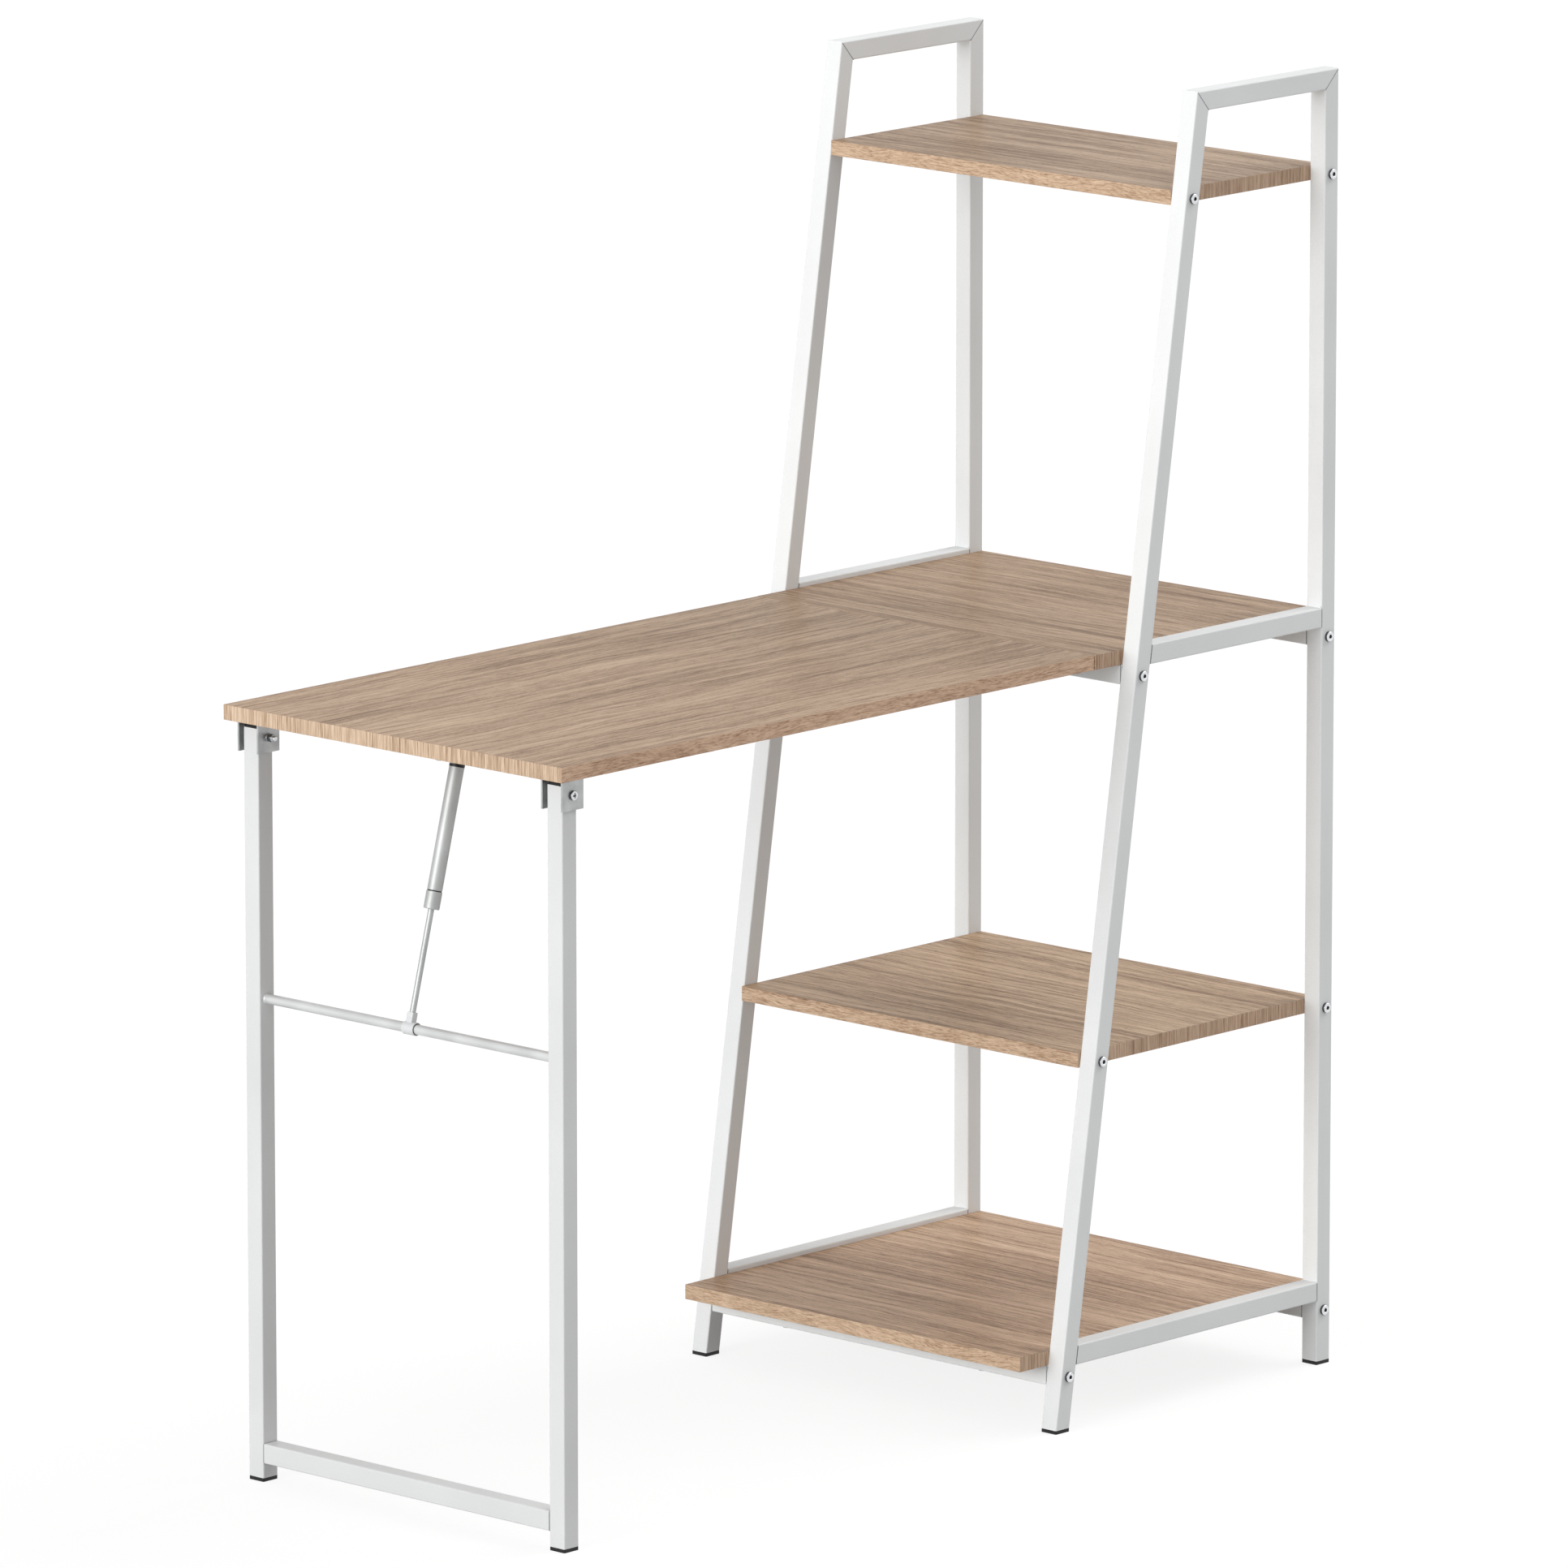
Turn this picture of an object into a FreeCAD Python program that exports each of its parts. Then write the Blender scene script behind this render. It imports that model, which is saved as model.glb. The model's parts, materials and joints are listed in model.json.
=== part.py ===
import FreeCAD, Part
import math
import os

# Desk with a side shelf unit, a drop leaf and a folding leg frame held open by a gas strut.
# Millimetres. X runs from the leaf end (minus) to the back of the rear posts (plus),
# Y across the desk, Z up. The origin is the middle of the floor rectangle under the whole desk.

# Overall sizes
overall_length = 1097.0
frame_width = 496.0
frame_height = 1323.0
desk_height = 774.0

# Square steel tube of all frames
tube = 20.0
tube_wall = 1.2
tube_corner = 1.5
tube_inner_corner = 0.8

# Front posts lean back: distance of their front face from the back of the frame
post_setback_at_floor = 414.5
post_setback_at_top = 212.5

# Boards
board = 15.0
band = 0.8
band_corner = 1.0
band_edge_round = 0.35
board_back_inset = 1.0
bottom_shelf_height = 81.0
middle_shelf_height = 376.0
top_shelf_drop = 98.0
rail_rise = 5.0
top_shelf_overhang = 0.3
middle_shelf_overhang = 3.0
desk_shelf_overhang = 40.0
bottom_shelf_overhang = 42.0
seam_gap = 0.5
leaf_side_gap = 1.0

# Feet and caps of moulded plastic
foot_flange = 3.7
plug_length = 14.0
plug_fit = 0.08
cap_flange = 3.0
cap_corner = 2.5

# Frame bolts, edge inserts and rail end plugs
bolt = 6.0
bolt_clearance = 0.2
bolt_head = 10.5
bolt_head_height = 3.3
bolt_head_round = 0.6
bolt_socket = 4.0
bolt_socket_depth = 2.2
bolt_grip = 12.0
insert_outer = 9.0
insert_length = 14.0
insert_fit = 0.05
rail_plug_length = 16.0

# Wood screws
wood_screw = 4.0
wood_screw_bite = 10.5
wood_screw_head = 8.0
wood_screw_head_height = 2.4
wood_screw_inset = 95.0
flat_screw = 3.5
flat_screw_head = 7.0
flat_screw_length = 12.0
screw_fit = 0.05
cross_slot = 0.9
cross_slot_depth = 1.2
cross_slot_length = 3.5

# Leaf hinges
hinge_spacing = 300.0
hinge_width = 60.0
hinge_sheet = 2.0
hinge_flap_length = 32.0
hinge_flap_gap = 1.5
hinge_pin = 5.0
hinge_pin_drop = 12.0
hinge_knuckle = 10.0
hinge_boss_width = 19.4
hinge_ear = 3.0
hinge_ear_root = 14.0
hinge_play = 0.3
hinge_screw_pitch = 20.0
hinge_screw_stagger = 7.2
hinge_pin_head = 7.5
hinge_pin_head_height = 1.2
running_play = 0.08

# Leg frame
leg_side_inset = 34.0
leg_end_inset = 14.5
leg_rail_height = 18.6
leg_bar = 10.0
leg_bar_drop = 276.0
pivot_drop = 17.0
pivot_offset = 2.5
post_top_gap = 7.2

# Leg brackets of bent sheet
bracket_length = 29.0
bracket_height = 31.7
bracket_sheet = 2.0
bracket_inner_gap = 0.3
bracket_spacer_gap = 4.0
bracket_screw_pitch = 15.0
pivot_head = 9.0
pivot_head_height = 2.8
pivot_nut = 10.0
pivot_nut_height = 4.0
pivot_washer = 11.0
pivot_washer_height = 1.0
pivot_thread_end = 4.5
bush_outer = 9.0
spacer_outer = 11.0

# Gas strut
strut_top_drop = 11.0
strut_lean_share = 0.2694
strut_bore_wall = 1.2
strut_outer = 15.0
strut_collar_outer = 15.8
strut_collar_length = 18.4
strut_collar_groove = 0.5
strut_rod = 6.0
strut_rod_exposed_share = 0.368
strut_closed_end = 4.0
strut_fitting_neck = 6.0
strut_eye = 12.0
strut_eye_width = 12.0
strut_body_end = 18.0
strut_guide_length = 10.0
strut_guide_bore_play = 0.08
strut_piston_length = 7.0
strut_piston_gap = 3.0
clip_outer = 13.0
clip_length = 20.5
clip_boss_width = 8.0
clip_boss_depth = 7.5
clip_boss_end = 15.6
clip_bore_play = 0.1
clip_rod_depth = 6.0

# Slotted angles that guide the strut's top pin
angle_sheet = 2.0
angle_flange = 16.0
angle_side_play = 0.8
angle_rim = 1.2
angle_screw_pitch = 20.0
window_play = 0.3
window_step_degrees = 5
leg_fold_degrees = 90
strut_pin = 4.0
strut_pin_head = 8.0
strut_pin_head_height = 1.4
strut_pin_side_play = 0.3

# Length that a cut or a tube runs past the piece before it is trimmed
overrun = 40.0

# Places worked out from the sizes above
leaf_end_x = -overall_length / 2
back_x = overall_length / 2
top_shelf_height = frame_height - top_shelf_drop
frame_y = frame_width / 2
inner_y = frame_y - tube
post_y = frame_y - tube / 2
post_lean = math.atan((post_setback_at_floor - post_setback_at_top) / frame_height)
post_run = tube / math.cos(post_lean)
desk_underside = desk_height - board
leg_bar_height = desk_underside - leg_bar_drop
bottom_underside = bottom_shelf_height - board


def front_face_x(z):
    """X of the front face of the leaning front post at height z."""
    return back_x - post_setback_at_floor + z * math.tan(post_lean)


def front_center_x(z):
    """X of the centre line of the leaning front post at height z."""
    return front_face_x(z) + post_run / 2


rear_center_x = back_x - tube / 2
seam_x = front_face_x(desk_height - board / 2) - desk_shelf_overhang
leaf_y = inner_y - leaf_side_gap
hinge_pin_x = seam_x - seam_gap / 2
hinge_pin_z = desk_underside - hinge_pin_drop
leg_center_x = leaf_end_x + leg_end_inset + tube / 2
leg_outer_y = frame_y - leg_side_inset
leg_inner_y = leg_outer_y - tube
pivot_x = leg_center_x + pivot_offset
pivot_z = desk_underside - pivot_drop
leg_post_top = desk_underside - post_top_gap
strut_top_z = desk_underside - strut_top_drop
strut_top_x = leg_center_x + strut_lean_share * (strut_top_z - leg_bar_height)


def vector(x, y, z):
    return FreeCAD.Vector(x, y, z)


strut_foot = vector(leg_center_x, 0, leg_bar_height)
strut_top = vector(strut_top_x, 0, strut_top_z)
strut_line = strut_top.sub(strut_foot)
strut_length = strut_line.Length
strut_axis = vector(strut_line.x, strut_line.y, strut_line.z).normalize()
strut_lean = math.atan2(strut_line.x, strut_line.z)


def box(low, high):
    """Box between two opposite corners."""
    size = high.sub(low)
    return Part.makeBox(size.x, size.y, size.z, low)


def rod(radius, start, end):
    """Round bar from start to end."""
    line = end.sub(start)
    return Part.makeCylinder(radius, line.Length, start, line)


def cone(radius_start, radius_end, start, end):
    """Cone from start to end."""
    line = end.sub(start)
    return Part.makeCone(radius_start, radius_end, line.Length, start, line)


def fused(shapes):
    """One solid from overlapping or touching shapes."""
    result = shapes[0]
    for shape in shapes[1:]:
        result = result.fuse(shape)
    return result.removeSplitter()


def turned(shape, axis, degrees, place):
    """Copy of a shape, turned about the origin and then put at a place."""
    copy = shape.copy()
    copy.Placement = FreeCAD.Placement(place, FreeCAD.Rotation(axis, degrees))
    return copy


def rounded_square(size, corner):
    """Flat square face around the Z axis with rounded corners."""
    half = size / 2
    flat = half - corner
    middle = flat + corner * math.cos(math.pi / 4)
    edges = []
    for quarter in range(4):
        turn = FreeCAD.Rotation(vector(0, 0, 1), 90 * quarter)
        side_start = turn.multVec(vector(half, -flat, 0))
        side_end = turn.multVec(vector(half, flat, 0))
        arc_middle = turn.multVec(vector(middle, middle, 0))
        arc_end = turn.multVec(vector(flat, half, 0))
        edges.append(Part.LineSegment(side_start, side_end).toShape())
        edges.append(Part.Arc(side_end, arc_middle, arc_end).toShape())
    return Part.Face(Part.Wire(edges))


def tube_along_z(length):
    """Hollow square tube standing on the origin."""
    outside = rounded_square(tube, tube_corner).extrude(vector(0, 0, length))
    inside = rounded_square(tube - 2 * tube_wall, tube_inner_corner).extrude(vector(0, 0, length))
    return outside.cut(inside)


def plug_along_z(length):
    """Square bar that fits inside the tube, standing on the origin."""
    size = tube - 2 * tube_wall - 2 * plug_fit
    return rounded_square(size, tube_inner_corner).extrude(vector(0, 0, length))


def tube_along_x(x_start, x_end, y, z):
    return turned(tube_along_z(x_end - x_start), vector(0, 1, 0), 90, vector(x_start, y, z))


def tube_along_y(y_start, y_end, x, z):
    return turned(tube_along_z(y_end - y_start), vector(1, 0, 0), -90, vector(x, y_start, z))


def side_cutter(first, second, y):
    """Block on the left of the line from first to second, both (x, z), for trimming a tube at y."""
    along = vector(second[0] - first[0], 0, second[1] - first[1]).normalize()
    left = vector(-along.z, 0, along.x)
    start = vector(first[0], y - tube, first[1]).sub(along * overrun)
    end = vector(second[0], y - tube, second[1]).add(along * overrun)
    points = [start, end, end.add(left * overrun), start.add(left * overrun), start]
    return Part.Face(Part.makePolygon(points)).extrude(vector(0, 2 * tube, 0))


def cross_hole(radius, x, y, z, reach):
    """Round cutter along Y through the point, reaching both ways."""
    return rod(radius, vector(x, y - reach, z), vector(x, y + reach, z))


# Side frames

front_top_outer = (front_face_x(frame_height), frame_height)
front_top_inner = (front_face_x(frame_height - tube) + post_run, frame_height - tube)
rear_top_outer = (back_x, frame_height)
rear_top_inner = (back_x - tube, frame_height - tube)
post_back_low = (front_face_x(0) + post_run, 0)
post_back_high = (front_face_x(frame_height) + post_run, frame_height)

desk_rail_z = desk_underside - tube / 2
base_rail_z = bottom_underside - tube / 2
top_bolt_z = top_shelf_height - board / 2
middle_bolt_z = middle_shelf_height - board / 2


def bolt_pair(z):
    """The (x, z) of the rear and the front bolt of a side frame at height z."""
    return [(rear_center_x, z), (front_center_x(z), z)]


insert_places = bolt_pair(top_bolt_z) + bolt_pair(middle_bolt_z)
rail_places = bolt_pair(desk_rail_z) + bolt_pair(base_rail_z)
bolt_places = insert_places + rail_places


def drilled_for_bolts(shape, y):
    for x, z in bolt_places:
        shape = shape.cut(cross_hole(bolt / 2 + bolt_clearance, x, y, z, tube))
    return shape


def rear_post(side):
    """Upright tube, mitred to the top rail."""
    y = side * post_y
    post = tube_along_z(frame_height - foot_flange)
    post.translate(vector(rear_center_x, y, foot_flange))
    post = post.cut(side_cutter(rear_top_inner, rear_top_outer, y))
    return drilled_for_bolts(post, y)


def front_post(side):
    """Leaning tube, cut level above its foot and mitred to the top rail."""
    y = side * post_y
    start = vector(front_center_x(-overrun), y, -overrun)
    length = (frame_height + overrun + tube) / math.cos(post_lean)
    post = turned(tube_along_z(length), vector(0, 1, 0), math.degrees(post_lean), start)
    low = box(vector(front_face_x(0) - overrun, y - tube, -2 * overrun),
              vector(front_face_x(0) + 2 * overrun, y + tube, foot_flange))
    post = post.cut(low).cut(side_cutter(front_top_outer, front_top_inner, y))
    return drilled_for_bolts(post, y)


def top_rail(side):
    """Level tube that closes the frame, mitred at both ends."""
    y = side * post_y
    rail = tube_along_x(front_top_outer[0], back_x, y, frame_height - tube / 2)
    rail = rail.cut(side_cutter(front_top_inner, front_top_outer, y))
    return rail.cut(side_cutter(rear_top_outer, rear_top_inner, y))


def side_rail(side, top_z):
    """Level tube welded between the rear post and the leaning front post."""
    y = side * post_y
    rail = tube_along_x(front_center_x(top_z), back_x - tube, y, top_z - tube / 2)
    return rail.cut(side_cutter(post_back_low, post_back_high, y))


# Cross rails under the desk shelf and the bottom shelf

screw_ys = [-(inner_y - wood_screw_inset), inner_y - wood_screw_inset]


def cross_rail(x, z):
    """Level tube between the side frames with upright holes for the shelf screws."""
    rail = tube_along_y(-inner_y, inner_y, x, z)
    for y in screw_ys:
        low, high = vector(x, y, z - tube), vector(x, y, z + tube)
        rail = rail.cut(rod(wood_screw / 2 + bolt_clearance, low, high))
    return rail


def rail_plugs():
    """Threaded end plugs of the four cross rails."""
    plugs = []
    for x, z in rail_places:
        for side in (-1, 1):
            plug = turned(plug_along_z(rail_plug_length), vector(1, 0, 0), 90 * side,
                          vector(x, side * inner_y, z))
            plugs.append(plug.cut(cross_hole(bolt / 2 + insert_fit, x, side * inner_y, z, tube)))
    return plugs


def frame_bolts(side):
    """Button-head socket bolts of one side frame, heads outside."""
    bolts = []
    for x, z in bolt_places:
        face = vector(x, side * frame_y, z)
        outward = vector(0, side, 0)
        head = rod(bolt_head / 2, face, face.add(outward * bolt_head_height))
        socket_top = face.add(outward * bolt_head_height)
        head = head.makeFillet(bolt_head_round, [rim_edge(head, socket_top.y)])
        socket_floor = socket_top.sub(outward * bolt_socket_depth)
        socket = hex_bar(bolt_socket, socket_floor, outward, bolt_socket_depth + overrun)
        shank = rod(bolt / 2, face.sub(outward * (tube + bolt_grip)), face)
        bolts.append(fused([head, shank]).cut(socket))
    return bolts


def shelf_inserts():
    """Threaded inserts in the side edges of the top and the middle shelf."""
    inserts = []
    for x, z in insert_places:
        for side in (-1, 1):
            mouth = vector(x, side * inner_y, z)
            bottom = vector(x, side * (inner_y - insert_length), z)
            insert = rod(insert_outer / 2, bottom, mouth)
            inserts.append(insert.cut(rod(bolt / 2 + insert_fit, bottom, mouth)))
    return inserts


def shelf_screws():
    """Pan-head screws that hold the desk shelf and the bottom shelf to the cross rails."""
    screws = []
    for x, z in rail_places:
        for y in screw_ys:
            under = vector(x, y, z - tube / 2)
            up = vector(0, 0, 1)
            head = rod(wood_screw_head / 2, under.sub(up * wood_screw_head_height), under)
            shank = rod(wood_screw / 2, under, under.add(up * (tube + wood_screw_bite)))
            screw = fused([head, shank])
            screws.append(screw.cut(cross_recess(under.sub(up * wood_screw_head_height), up)))
    return screws


def hex_bar(across_flats, start, direction, length):
    """Hexagonal bar from start along a Y direction."""
    sides = 6
    radius = across_flats / 2 / math.cos(math.pi / sides)
    points = []
    for corner in range(sides):
        angle = 2 * math.pi * corner / sides
        points.append(start.add(vector(radius * math.cos(angle), 0, radius * math.sin(angle))))
    return Part.Face(Part.makePolygon(points + points[:1])).extrude(direction * length)


def cross_recess(face, inward):
    """Cross cut into a screw head, from the face inwards."""
    wide = cross_slot_length / 2
    half = cross_slot / 2
    arms = []
    for long_x, long_y in ((wide, half), (half, wide)):
        low = vector(-long_x, -long_y, 0)
        arms.append(box(low, vector(long_x, long_y, cross_slot_depth)))
    recess = arms[0].fuse(arms[1])
    recess.Placement = FreeCAD.Placement(face, FreeCAD.Rotation(vector(0, 0, 1), inward))
    return recess


# Shelves and leaf

def board_outline(x_low, x_high, y_half, z_top):
    """Outer form of a board with its band: rounded corners and softened edges."""
    whole = box(vector(x_low, -y_half, z_top - board), vector(x_high, y_half, z_top))
    corners = []
    for edge in whole.Edges:
        if edge.BoundBox.ZLength > board / 2:
            corners.append(edge)
    whole = whole.makeFillet(band_corner, corners)
    rims = []
    for edge in whole.Edges:
        if edge.BoundBox.ZLength < band_edge_round:
            rims.append(edge)
    return whole.makeFillet(band_edge_round, rims)


def board_core(x_low, x_high, y_half, z_top):
    """The board inside its glued band."""
    low = vector(x_low + band, -y_half + band, z_top - board)
    return box(low, vector(x_high - band, y_half - band, z_top))


def board_pieces(x_low, x_high, y_half, z_top, cutters):
    """Core and band of one board, both drilled by the cutters."""
    core = board_core(x_low, x_high, y_half, z_top)
    edge_band = board_outline(x_low, x_high, y_half, z_top).cut(core)
    for cutter in cutters:
        core = core.cut(cutter)
        edge_band = edge_band.cut(cutter)
    return core, edge_band


def insert_holes(z):
    holes = []
    for x, place_z in bolt_pair(z):
        for side in (-1, 1):
            bottom = vector(x, side * (inner_y - insert_length), place_z)
            mouth = vector(x, side * (inner_y + overrun), place_z)
            holes.append(rod(insert_outer / 2 + insert_fit, bottom, mouth))
    return holes


def rail_screw_holes(z):
    holes = []
    for x, place_z in bolt_pair(z):
        for y in screw_ys:
            holes.append(rod(wood_screw / 2 + screw_fit, vector(x, y, place_z),
                             vector(x, y, place_z + tube / 2 + wood_screw_bite)))
    return holes


def shelf(z_top, overhang, cutters):
    """Shelf from just inside the back of the frame to its front overhang."""
    front = front_face_x(z_top - board / 2) - overhang
    return board_pieces(front, back_x - board_back_inset, inner_y, z_top, cutters)


def flat_screw_shape(radius_play, x, y, z_face):
    """Countersunk screw that goes up from the face of a sheet, or its hole with some play."""
    head = flat_screw_head / 2 + radius_play
    shank = flat_screw / 2 + radius_play
    face = vector(x, y, z_face)
    neck = vector(x, y, z_face + head - shank)
    tip = vector(x, y, z_face + flat_screw_length)
    return fused([cone(head, shank, face, neck), rod(shank, neck, tip)])


def flat_screws(places, z_face):
    screws = []
    for x, y in places:
        recess = cross_recess(vector(x, y, z_face), vector(0, 0, 1))
        screws.append(flat_screw_shape(0, x, y, z_face).cut(recess))
    return screws


def flat_screw_holes(places, z_face):
    return [flat_screw_shape(screw_fit, x, y, z_face) for x, y in places]


def cut_all(shape, cutters):
    for cutter in cutters:
        shape = shape.cut(cutter)
    return shape


# Leaf hinges

hinge_face_z = desk_underside - hinge_sheet
hinge_ys = [-hinge_spacing / 2, hinge_spacing / 2]


def hinge_screw_places(side):
    """Screw places of the fixed flaps (side 1) or the moving flaps (side -1)."""
    x = hinge_pin_x + side * (hinge_flap_gap + hinge_flap_length / 2)
    near = x - side * hinge_screw_stagger
    far = x + side * hinge_screw_stagger
    places = []
    for y in hinge_ys:
        places.append((near, y - hinge_screw_pitch))
        places.append((near, y + hinge_screw_pitch))
        places.append((far, y))
    return places


def hinge_ear_shape(side, y_low, y_high, bore):
    """Upright ear or boss that carries the pin below a flap."""
    radius = hinge_knuckle / 2
    root = hinge_pin_x + side * hinge_flap_gap
    points = [
        vector(hinge_pin_x - side * radius, y_low, hinge_pin_z),
        vector(root, y_low, hinge_face_z),
        vector(root + side * hinge_ear_root, y_low, hinge_face_z),
        vector(hinge_pin_x + side * radius, y_low, hinge_pin_z),
    ]
    web = Part.Face(Part.makePolygon(points + points[:1])).extrude(vector(0, y_high - y_low, 0))
    eye = rod(radius, vector(hinge_pin_x, y_low, hinge_pin_z), vector(hinge_pin_x, y_high, hinge_pin_z))
    hole = cross_hole(bore, hinge_pin_x, y_low, hinge_pin_z, hinge_width)
    return fused([web, eye]).cut(hole)


def hinge_plate(side, y):
    near = hinge_pin_x + side * hinge_flap_gap
    far = near + side * hinge_flap_length
    return box(vector(min(near, far), y - hinge_width / 2, hinge_face_z),
               vector(max(near, far), y + hinge_width / 2, desk_underside))


def hinge_fixed_flap(y):
    """Flap under the desk shelf with two ears."""
    inner = hinge_boss_width / 2 + hinge_play
    outer = inner + hinge_ear
    bore = hinge_pin / 2 + screw_fit
    parts = [
        hinge_plate(1, y),
        hinge_ear_shape(1, y - outer, y - inner, bore),
        hinge_ear_shape(1, y + inner, y + outer, bore),
    ]
    return cut_all(fused(parts), flat_screw_holes(hinge_screw_places(1), hinge_face_z))


def hinge_moving_flap(y):
    """Flap under the leaf with one wide boss."""
    half = hinge_boss_width / 2
    parts = [
        hinge_plate(-1, y),
        hinge_ear_shape(-1, y - half, y + half, hinge_pin / 2 + running_play),
    ]
    return cut_all(fused(parts), flat_screw_holes(hinge_screw_places(-1), hinge_face_z))


def hinge_pin_shape(y):
    """Pin with a flat head at both ends."""
    reach = hinge_boss_width / 2 + hinge_play + hinge_ear
    pin = rod(hinge_pin / 2, vector(hinge_pin_x, y - reach, hinge_pin_z),
              vector(hinge_pin_x, y + reach, hinge_pin_z))
    heads = []
    for side in (-1, 1):
        start = vector(hinge_pin_x, y + side * reach, hinge_pin_z)
        end = start.add(vector(0, side * hinge_pin_head_height, 0))
        heads.append(rod(hinge_pin_head / 2, start, end))
    return fused([pin] + heads)


# Leg brackets, mirrored bolts but both of the same hand

def bracket_ys(side):
    """Inner faces of the two ears of the bracket on one side."""
    low_post = min(side * leg_outer_y, side * leg_inner_y)
    return low_post - bracket_inner_gap, low_post + tube + bracket_spacer_gap


def bracket_screw_places(side):
    low, high = bracket_ys(side)
    middle = (low + high) / 2
    return [(pivot_x - bracket_screw_pitch / 2, middle), (pivot_x + bracket_screw_pitch / 2, middle)]


bracket_face_z = desk_underside - bracket_sheet


def leg_bracket(side):
    """Bent sheet: a plate under the leaf with an ear on each side of the leg post."""
    low, high = bracket_ys(side)
    x_low = pivot_x - bracket_length / 2
    x_high = pivot_x + bracket_length / 2
    z_low = desk_underside - bracket_height
    plate = box(vector(x_low, low - bracket_sheet, bracket_face_z),
                vector(x_high, high + bracket_sheet, desk_underside))
    near_ear = box(vector(x_low, low - bracket_sheet, z_low), vector(x_high, low, desk_underside))
    far_ear = box(vector(x_low, high, z_low), vector(x_high, high + bracket_sheet, desk_underside))
    bracket = fused([plate, near_ear, far_ear])
    bends = []
    for edge in bracket.Edges:
        middle = edge.CenterOfMass
        outside = middle.y < low - bracket_sheet / 2 or middle.y > high + bracket_sheet / 2
        on_top = middle.z > bracket_face_z
        whole_length = edge.BoundBox.XLength > bracket_length / 2
        if outside and on_top and whole_length:
            bends.append(edge)
    bracket = bracket.makeFillet(bracket_sheet / 2, bends)
    bracket = bracket.cut(cross_hole(bolt / 2 + bolt_clearance, pivot_x, low, pivot_z, 2 * tube))
    return cut_all(bracket, flat_screw_holes(bracket_screw_places(side), bracket_face_z))


def pivot_faces(side):
    """Y of the bracket's outer face under the bolt head and of the one under the nut."""
    low, high = bracket_ys(side)
    if side < 0:
        return low - bracket_sheet, high + bracket_sheet
    return high + bracket_sheet, low - bracket_sheet


def pivot_bolt(side):
    """Pan-head bolt through bracket and post, head on the outside of the desk."""
    head_y, nut_y = pivot_faces(side)
    outward = vector(0, side, 0)
    face = vector(pivot_x, head_y, pivot_z)
    top = face.add(outward * pivot_head_height)
    tail = pivot_washer_height + pivot_nut_height + pivot_thread_end
    end = vector(pivot_x, nut_y, pivot_z).sub(outward * tail)
    body = fused([rod(pivot_head / 2, face, top), rod(bolt / 2, end, face)])
    body = body.makeFillet(bolt_head_round, [rim_edge(body, top.y)])
    return body.cut(cross_recess(top, outward * -1))


def rim_edge(shape, y):
    """The round edge of a turned piece in the plane at y."""
    best = None
    for edge in shape.Edges:
        flat = edge.BoundBox.YLength < screw_fit
        if flat and abs(edge.CenterOfMass.y - y) < screw_fit:
            if best is None or edge.Length > best.Length:
                best = edge
    return best


def pivot_nut_shape(side):
    """Flanged nut on the end of the pivot bolt."""
    nut_y = pivot_faces(side)[1]
    inward = vector(0, -side, 0)
    face = vector(pivot_x, nut_y, pivot_z)
    washer_top = face.add(inward * pivot_washer_height)
    nut = fused([rod(pivot_washer / 2, face, washer_top),
                 hex_bar(pivot_nut, washer_top, inward, pivot_nut_height)])
    return nut.cut(cross_hole(bolt / 2 + insert_fit, pivot_x, nut_y, pivot_z, tube))


def pivot_spacer(side):
    """Sleeve between the post and the far ear."""
    high = bracket_ys(side)[1]
    post_face = high - bracket_spacer_gap
    start = vector(pivot_x, post_face + bracket_inner_gap, pivot_z)
    end = vector(pivot_x, high, pivot_z)
    return rod(spacer_outer / 2, start, end).cut(rod(bolt / 2 + insert_fit, start, end))


# Leg frame

def leg_post(side):
    """Upright tube with the pivot hole near its top."""
    y = side * (leg_outer_y - tube / 2)
    post = tube_along_z(leg_post_top - foot_flange)
    post.translate(vector(leg_center_x, y, foot_flange))
    return post.cut(cross_hole(bush_outer / 2 + insert_fit, pivot_x, y, pivot_z, tube))


def pivot_bush(side):
    """Plastic sleeve through the post that turns on the pivot bolt."""
    start = vector(pivot_x, side * leg_inner_y, pivot_z)
    end = vector(pivot_x, side * leg_outer_y, pivot_z)
    return rod(bush_outer / 2, start, end).cut(rod(bolt / 2 + running_play, start, end))


def leg_bottom_rail():
    return tube_along_y(-leg_inner_y, leg_inner_y, leg_center_x, leg_rail_height + tube / 2)


def leg_round_bar():
    return rod(leg_bar / 2, vector(leg_center_x, -leg_inner_y, leg_bar_height),
               vector(leg_center_x, leg_inner_y, leg_bar_height))


def leg_post_cap(side):
    """Cap on top of the leg post: rounded plate with a plug inside the tube."""
    y = side * (leg_outer_y - tube / 2)
    plate = rounded_square(tube, cap_corner).extrude(vector(0, 0, cap_flange))
    rims = [edge for edge in plate.Edges if edge.BoundBox.ZLength < screw_fit and
            edge.CenterOfMass.z > cap_flange / 2]
    plate = plate.makeFillet(cap_corner / 2, rims)
    plate.translate(vector(leg_center_x, y, leg_post_top))
    length = leg_post_top - pivot_z - bush_outer / 2 - cap_flange / 2
    plug = plug_along_z(length)
    plug.translate(vector(leg_center_x, y, leg_post_top - length))
    return fused([plate, plug])


def upright_foot(x, y):
    """Foot with a plug, under an upright tube."""
    flange = rounded_square(tube, tube_corner).extrude(vector(0, 0, foot_flange))
    plug = plug_along_z(plug_length)
    plug.translate(vector(0, 0, foot_flange))
    foot = fused([flange, plug])
    foot.translate(vector(x, y, 0))
    return foot


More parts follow.
